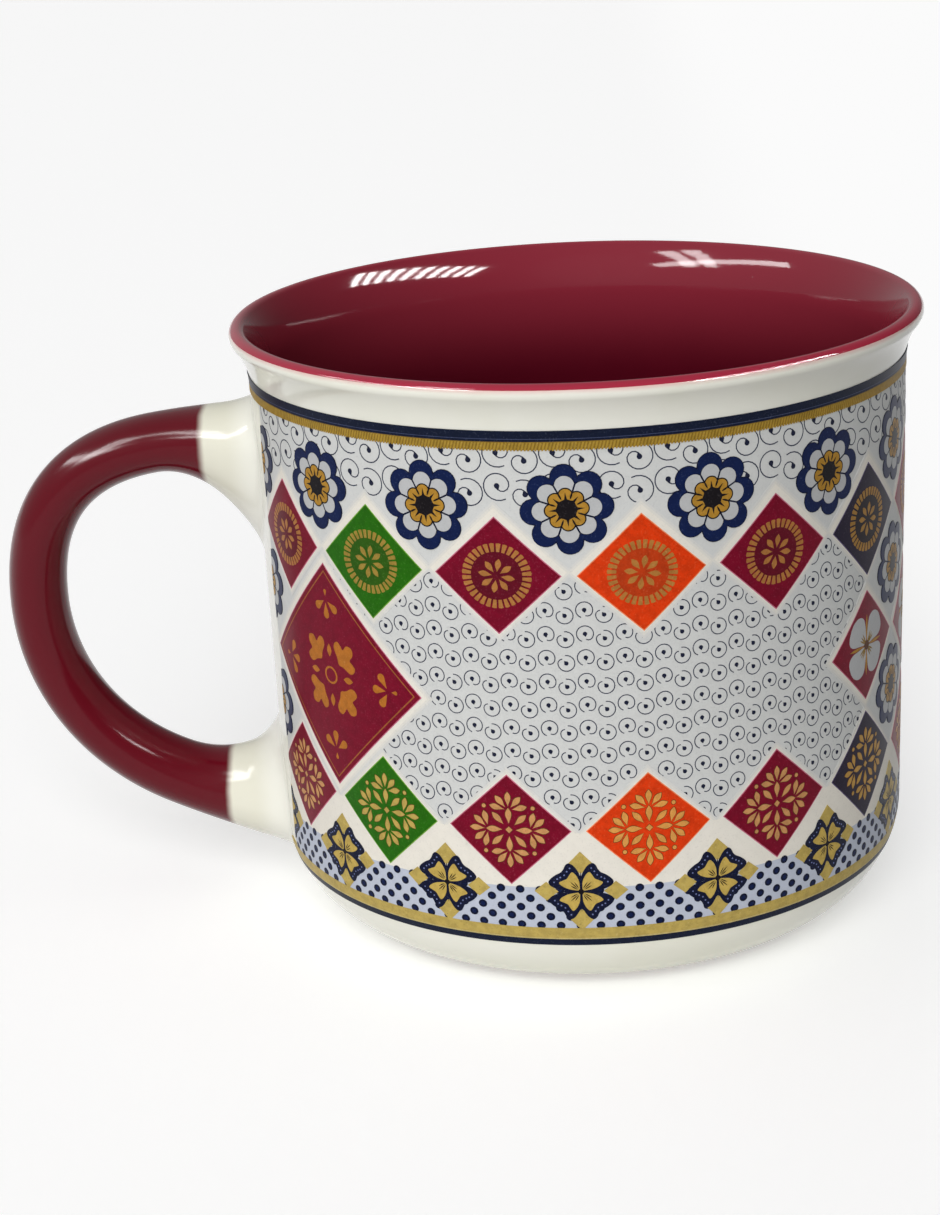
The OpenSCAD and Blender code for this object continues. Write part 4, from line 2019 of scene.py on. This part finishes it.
    def _lattice(self) -> list[Placing]:
        """Sets the flowers, lozenges and quatrefoils.

        Returns:
            Their places. The great lozenges stand at either end of two panels of curls, and the columns
            between the panels are filled with blossoms and flowers.
        """
        places = []
        flower, quatrefoil = Flower(), Quatrefoil()
        for k in self.flower_columns:
            angle = self.column(self.flower_a, k)
            places.append(Placing(flower, angle, self.flower_z))
            places.append(Placing(quatrefoil, angle, self.quatrefoil_z))
            if k in self.extra_columns:
                places.append(Placing(flower, angle, self.upper_extra_z))
                places.append(Placing(flower, angle, self.lower_extra_z))
            if k in self.great_columns:
                places.append(Placing(GreatLozenge(Hue.CRIMSON), angle, self.middle_z))
        for k in self.lozenge_columns:
            angle = self.column(self.lozenge_a, k)
            hue = HUE_CYCLE[k % len(HUE_CYCLE)]
            places.append(Placing(RingLozenge(hue), angle, self.upper_z))
            places.append(Placing(SprayLozenge(hue), angle, self.lower_z))
            if k in self.blossom_columns:
                places.append(Placing(BlossomLozenge(Hue.CRIMSON), angle, self.middle_z))
        return places

    def _band(self) -> list[Placing]:
        """Sets the dots of the lower band in staggered rows."""
        dot, step_a = BandDot(), self.angle_of(self.dot_step)
        places = []
        for row in range(self.dot_rows):
            angle = self.start_a + self.first_dot_a + (step_a / 2 if row % 2 else 0.0)
            height = self.print_base + self.dot_rise + row * self.dot_row_h
            while angle < self.end_a - self.last_dot_a:
                places.append(Placing(dot, angle, height))
                angle += step_a
        return places

    def _upper_curls(self) -> list[Placing]:
        """Sets the large curls behind the flowers, in waving rows."""
        step_a = self.angle_of(self.upper_curl_step)
        places = []
        for row in range(self.upper_curl_rows):
            row_z = self.print_top - self.upper_curl_drop - row * self.upper_curl_row_h
            for k in range(int((self.end_a - self.start_a) / step_a) - 1):
                angle = self.start_a + self.first_curl_a + k * step_a
                height = row_z - (self.upper_curl_wave if k % 2 else 0.0)
                if self._clear_of_row(angle, height, self.upper_z, self.upper_clear):
                    places.append(Placing(self.upper_curl, angle, height, turn=105.0 if k % 2 else 285.0))
        return places

    def _panel_curls(self) -> list[Placing]:
        """Fills the two panels between the great lozenges and the blossoms with small curls."""
        step_a = self.angle_of(self.panel_curl_step)
        greats = [self.column(self.flower_a, k) for k in self.great_columns]
        blossoms = [self.column(self.lozenge_a, k) for k in self.blossom_columns]
        places = []
        for great, blossom in ((greats[0], blossoms[0]), (greats[-1], blossoms[-1])):
            for k in range(int(abs(blossom - great) / step_a)):
                angle = min(great, blossom) + (k + 0.5) * step_a
                wave = self.panel_curl_wave if k % 2 else -self.panel_curl_wave
                for row in self.panel_curl_rows:
                    height = self.middle_z + row * self.panel_curl_row_h + wave
                    if self._in_panel(angle, height, great, blossom):
                        places.append(Placing(self.panel_curl, angle, height, turn=280.0 if k % 2 else 130.0))
        return places

    def _in_panel(self, angle: float, height: float, great: float, blossom: float) -> bool:
        """Says whether a small curl stands inside a panel.

        Args:
            angle: the curl's angle.
            height: its height.
            great: angle of the great lozenge at one end.
            blossom: angle of the blossom lozenge at the other end.

        Returns:
            True where it clears every lozenge round the panel.
        """
        return (
            self.lower_z < height < self.upper_z
            and self._clear_of_row(angle, height, self.upper_z, self.panel_clear)
            and self._clear_of_row(angle, height, self.lower_z, self.panel_clear)
            and self._clear_of(angle - great, height - self.middle_z, self.great_clear)
            and self._clear_of(angle - blossom, height - self.middle_z, self.blossom_clear)
        )

    def _clear_of_row(self, angle: float, height: float, row_z: float, clear: Point) -> bool:
        """Says whether a place lies outside every lozenge of a row.

        Args:
            angle: the place's angle.
            height: its height.
            row_z: height of the row's centres.
            clear: half-width and half-height that are kept clear.

        Returns:
            True where a curl can stand.
        """
        half = self.pitch_a / 2
        offset = (angle - self.lozenge_a + half) % self.pitch_a - half
        return self._clear_of(offset, height - row_z, clear)

    def _clear_of(self, offset: float, rise: float, clear: Point) -> bool:
        """Says whether a place lies outside a lozenge, by its angle and height over the lozenge's centre."""
        return abs(self.length_of(offset)) / clear[0] + abs(rise) / clear[1] > 1.0

    def _teeth(self) -> list[Placing]:
        """Sets the teeth along the lower edge of the upper gold line."""
        count = round(360 / self.angle_of(self.tooth_step))
        tooth = Tooth(self.upper_gold_w * 0.9)
        return [Placing(tooth, -90 + 360 * k / count, self.print_top) for k in range(count)]

    def _collect(self, sets: dict[str, StampSet], placing: Placing) -> None:
        """Adds one motif's stamps and places to the pieces that its inks belong to.

        Args:
            sets: stamp sets by piece.
            placing: the motif and its place.
        """
        x = self.length_of(placing.angle)
        left, right = self.length_of(self.start_a) - x, self.length_of(self.end_a) - x
        reach = placing.motif.half_width()
        free = isinstance(placing.motif, Tooth)
        cut_left = None if free or left < -reach else round(left, 4)
        cut_right = None if free or right > reach else round(right, 4)
        for pull in placing.motif.pulls():
            loops = self._within(pull.loops, cut_left, cut_right)
            if not loops:
                continue
            stamp_set = sets.setdefault(pull.piece, StampSet(pull.ink))
            key = (placing.motif, cut_left, cut_right)
            if key not in stamp_set.stamps:
                name = f"stamp_{len(stamp_set.stamps):03d}"
                mesh = self._stamp(name, loops, self.top_of(pull.layer))
                stamp_set.stamps[key] = bpy.data.objects.new(name, mesh)
            index = list(stamp_set.stamps).index(key)
            stamp_set.places.append((x, placing.height, index, math.radians(placing.turn)))

    @staticmethod
    def _within(loops: tuple[Loop, ...], left: float | None, right: float | None) -> tuple[Loop, ...]:
        """Cuts loops at the ends of the print.

        Args:
            loops: the outlines.
            left: where the print starts, if it starts in the figure.
            right: where it ends, if it ends in the figure.

        Returns:
            What is left of them.
        """
        if left is not None:
            loops = tuple(trimmed(loop, left, True) for loop in loops)
        if right is not None:
            loops = tuple(trimmed(loop, right, False) for loop in loops)
        return tuple(loop for loop in loops if len(loop) > 2)

    def _stamp(self, name: str, loops: Sequence[Loop], top: float) -> bpy.types.Mesh:
        """Makes a thin closed stamp from flat loops, sliced so that it can bend round the wall.

        Args:
            name: the stamp's name.
            loops: its outlines.
            top: height of its face over the glaze.

        Returns:
            The stamp's mesh, in metres.
        """
        whole = bmesh.new()
        for loop in loops:
            part = bmesh.new()
            part.faces.new([part.verts.new((x * MM, y * MM, -self.sunk * MM)) for x, y in loop])
            self._slice(part, loop, 0)
            if max(y for _, y in loop) - min(y for _, y in loop) > self.slice_over:
                self._slice(part, loop, 1)
            flat = part.faces[:] + part.edges[:]
            raised = bmesh.ops.extrude_face_region(part, geom=flat, use_keep_orig=True)
            for v in raised["geom"]:
                if isinstance(v, bmesh.types.BMVert):
                    v.co.z = top * MM
            bmesh.ops.recalc_face_normals(part, faces=part.faces[:])
            holder = bpy.data.meshes.new(name)
            part.to_mesh(holder)
            part.free()
            whole.from_mesh(holder)
            bpy.data.meshes.remove(holder)
        mesh = bpy.data.meshes.new(name)
        whole.to_mesh(mesh)
        whole.free()
        return mesh

    def _slice(self, part: bmesh.types.BMesh, loop: Loop, axis: int) -> None:
        """Cuts a flat figure into strips.

        Args:
            part: the figure.
            loop: its outline.
            axis: 0 for upright cuts, 1 for level ones.
        """
        reach = [point[axis] for point in loop]
        normal = (1.0, 0.0, 0.0) if axis == 0 else (0.0, 1.0, 0.0)
        for k in range(math.floor(min(reach) / self.slice_w) + 1, math.ceil(max(reach) / self.slice_w)):
            everything = part.verts[:] + part.edges[:] + part.faces[:]
            cut = tuple(k * self.slice_w * MM * n for n in normal)
            bmesh.ops.bisect_plane(part, geom=everything, dist=1e-8, plane_co=cut, plane_no=normal)

    def _print(self, name: str, stamp_set: StampSet, tree: bpy.types.NodeTree) -> None:
        """Prints one piece round the wall.

        Args:
            name: the piece's name.
            stamp_set: its stamps and places.
            tree: the wrapping tree.
        """
        collection = bpy.data.collections.new(name + "_stamps")
        for obj in stamp_set.stamps.values():
            collection.objects.link(obj)
        mesh = mesh_of(name, [(x, z, 0.0) for x, z, _, _ in stamp_set.places])
        for label, kind, column in (("stamp", "INT", 2), ("turn", "FLOAT", 3)):
            attribute = mesh.attributes.new(label, kind, "POINT")
            attribute.data.foreach_set("value", [row[column] for row in stamp_set.places])
        p = self.profile
        values = {
            "Stamps": collection,
            "Reference Radius": self.reference_r * MM,
            "Base Radius": p.base_r * MM,
            "Wall Slope": p.wall_slope,
            "Corner Radius": p.corner_r * MM,
            "Material": self.finishes.ink(stamp_set.ink),
        }
        piece = run_tree(new_object(name, mesh), tree, values)
        for obj in list(stamp_set.stamps.values()):
            data = obj.data
            bpy.data.objects.remove(obj)
            bpy.data.meshes.remove(data)
        bpy.data.collections.remove(collection)
        finish_piece(piece)


def aimed(azimuth: float, elevation: float) -> Vector:
    """Returns the unit direction from the mug towards that azimuth and elevation."""
    a, e = math.radians(azimuth), math.radians(elevation)
    return Vector((math.sin(a) * math.cos(e), -math.cos(a) * math.cos(e), math.sin(e)))


@dataclass(frozen=True)
class Softbox:
    """Lamp for the highlights, with a bright face of one or more upright bars, aimed at the mug."""

    name: str
    azimuth: float
    elevation: float
    width: float
    height: float
    radiance: float
    bars: int = 1
    fill: float = 1.0
    distance: float = 900.0
    aim_z: float = 70.0

    def build(self) -> None:
        """Hangs the lamp's bars side by side."""
        way = aimed(self.azimuth, self.elevation)
        turned = (-way).to_track_quat("-Z", "Y")
        place = way * self.distance + Vector((0.0, 0.0, self.aim_z))
        bar_w = self.width / self.bars
        for k in range(self.bars):
            lamp = bpy.data.lights.new(f"{self.name}_{k}", "AREA")
            lamp.shape = "RECTANGLE"
            lamp.size, lamp.size_y = bar_w * self.fill * MM, self.height * MM
            lamp.energy = self.radiance * math.pi * lamp.size * lamp.size_y
            obj = bpy.data.objects.new(lamp.name, lamp)
            shift = Vector(((k + 0.5) * bar_w - self.width / 2, 0.0, 0.0))
            obj.location = (place + turned @ shift) * MM
            obj.rotation_euler = turned.to_euler()
            obj.visible_diffuse = False
            bpy.context.scene.collection.objects.link(obj)


@dataclass
class Studio:
    """Camera, lamps, floor and surroundings."""

    eye: tuple[float, float, float] = (0.0, -372.3, 169.4)
    yaw: float = -2.70
    pitch: float = 18.49
    roll: float = -2.90
    focal_px: float = 2556.0
    sensor: float = 36.0
    floor_size: float = 60.0
    floor_colour: Rgb = (236, 236, 236)
    dim_floor_colour: Rgb = (110, 110, 110)
    floor_light: float = 0.69
    floor_white: float = 0.96
    dim_from: float = 25.0
    dim_to: float = 95.0
    back_level: float = 0.5
    front_level: float = 0.52
    right_share: float = 0.14
    sun_azimuth: float = -8.0
    sun_elevation: float = 30.0
    sun_angle: float = 45.0
    sun_strength: float = 2.05
    softboxes: tuple[Softbox, ...] = (
        Softbox("left_softbox", -68.0, 40.0, 880.0, 90.0, 22.0),
        Softbox("window_softbox", -56.0, 45.0, 250.0, 380.0, 24.0, 2, 0.7),
        Softbox("right_softbox", 73.0, 42.0, 860.0, 220.0, 64.0, 10, 0.5),
    )

    def build(self) -> None:
        """Makes the camera, the floor, the lamps and the world."""
        self._camera()
        self._floor()
        for softbox in self.softboxes:
            softbox.build()
        self._sun()
        self._world()
        bpy.context.scene.view_settings.view_transform = "Standard"

    def _camera(self) -> None:
        """Sets the camera where the photograph was taken from."""
        yaw, pitch, roll = (math.radians(a) for a in (self.yaw, self.pitch, self.roll))
        ahead = Vector((math.sin(yaw) * math.cos(pitch), math.cos(yaw) * math.cos(pitch), -math.sin(pitch)))
        right = Vector((math.cos(yaw), -math.sin(yaw), 0.0))
        up = right.cross(ahead)
        x_axis = math.cos(roll) * right + math.sin(roll) * up
        y_axis = -math.sin(roll) * right + math.cos(roll) * up
        data = bpy.data.cameras.new("camera")
        data.sensor_width = self.sensor
        data.lens = self.focal_px / max(IMAGE_W, IMAGE_H) * self.sensor
        data.clip_start = 0.01
        camera = bpy.data.objects.new("camera", data)
        turned = Matrix((x_axis, y_axis, -ahead)).transposed().to_4x4()
        camera.matrix_world = Matrix.Translation(Vector(self.eye) * MM) @ turned
        bpy.context.scene.collection.objects.link(camera)
        bpy.context.scene.camera = camera

    def _floor(self) -> None:
        """Lays a pale floor that looks white all over, but returns less light on the mug's dim side."""
        half = self.floor_size / 2 / MM
        corners = [(-half, -half, 0.0), (half, -half, 0.0), (half, half, 0.0), (-half, half, 0.0)]
        floor = new_object("floor", mesh_of("floor", corners, [(0, 1, 2, 3)]))
        material, w, shader = new_material("pale_floor")
        place = w.add("ShaderNodeTexCoord").outputs["Object"]
        across = w.add("ShaderNodeSeparateXYZ", {0: place}).outputs["X"]
        dim = w.smooth_step(across, self.dim_from * MM, self.dim_to * MM)
        pale, dark = linear(self.floor_colour), linear(self.dim_floor_colour)
        w.feed(shader.inputs["Base Color"], w.mix(dim, pale, dark))
        lift = self.floor_white - self.floor_light * pale[0]
        lift = w.math("MULTIPLY_ADD", dim, self.floor_light * (pale[0] - dark[0]), lift)
        shader.inputs["Roughness"].default_value = 0.9
        shader.inputs["Specular IOR Level"].default_value = 0.1
        shader.inputs["Emission Color"].default_value = (1.0, 1.0, 1.0, 1.0)
        ray = w.add("ShaderNodeLightPath").outputs
        mirrored = w.math("MAXIMUM", ray["Is Glossy Ray"], ray["Is Transmission Ray"])
        seen = w.math("MAXIMUM", ray["Is Camera Ray"], mirrored)
        w.feed(shader.inputs["Emission Strength"], w.math("MULTIPLY", seen, lift))
        floor.data.materials.append(material)

    def _sun(self) -> None:
        """Adds the wide soft light that shapes the mug from its front, without a highlight of its own."""
        lamp = bpy.data.lights.new("soft_key", "SUN")
        lamp.energy = self.sun_strength
        lamp.angle = math.radians(self.sun_angle)
        obj = bpy.data.objects.new("soft_key", lamp)
        way = aimed(self.sun_azimuth, self.sun_elevation)
        obj.rotation_euler = (-way).to_track_quat("-Z", "Y").to_euler()
        obj.visible_glossy = False
        bpy.context.scene.collection.objects.link(obj)

    def _world(self) -> None:
        """Makes even, pale surroundings that grow dim to the right of the mug."""
        world = bpy.data.worlds.new("surroundings")
        bpy.context.scene.world = world
        world.use_nodes = True
        world.node_tree.nodes.clear()
        w = TreeWriter(world.node_tree)
        way = w.add("ShaderNodeSeparateXYZ", {0: w.add("ShaderNodeTexCoord").outputs["Generated"]}).outputs
        ahead = w.smooth_step(way["Y"], 0.5, -0.5)
        level = w.math("MULTIPLY_ADD", ahead, self.front_level - self.back_level, self.back_level)
        aside = w.smooth_step(way["X"], -0.5, 0.8)
        dim = w.math("MULTIPLY_ADD", aside, self.right_share - 1.0, 1.0)
        back = w.add("ShaderNodeBackground", {"Color": (1.0, 1.0, 1.0, 1.0)})
        w.feed(back.inputs["Strength"], w.math("MULTIPLY", level, dim))
        w.feed(w.add("ShaderNodeOutputWorld").inputs["Surface"], back.outputs[0])


def main() -> None:
    """Builds the mug and its studio."""
    logging.basicConfig(level=logging.INFO, format="%(message)s")
    profile = CupProfile.from_frame()
    finishes = Finishes()
    wheel = Wheel()
    Cup(profile, wheel, finishes).build()
    Handle(profile, finishes).build()
    PrintBand(profile, wheel, finishes).build()
    Studio().build()


if __name__ == "__main__":
    main()
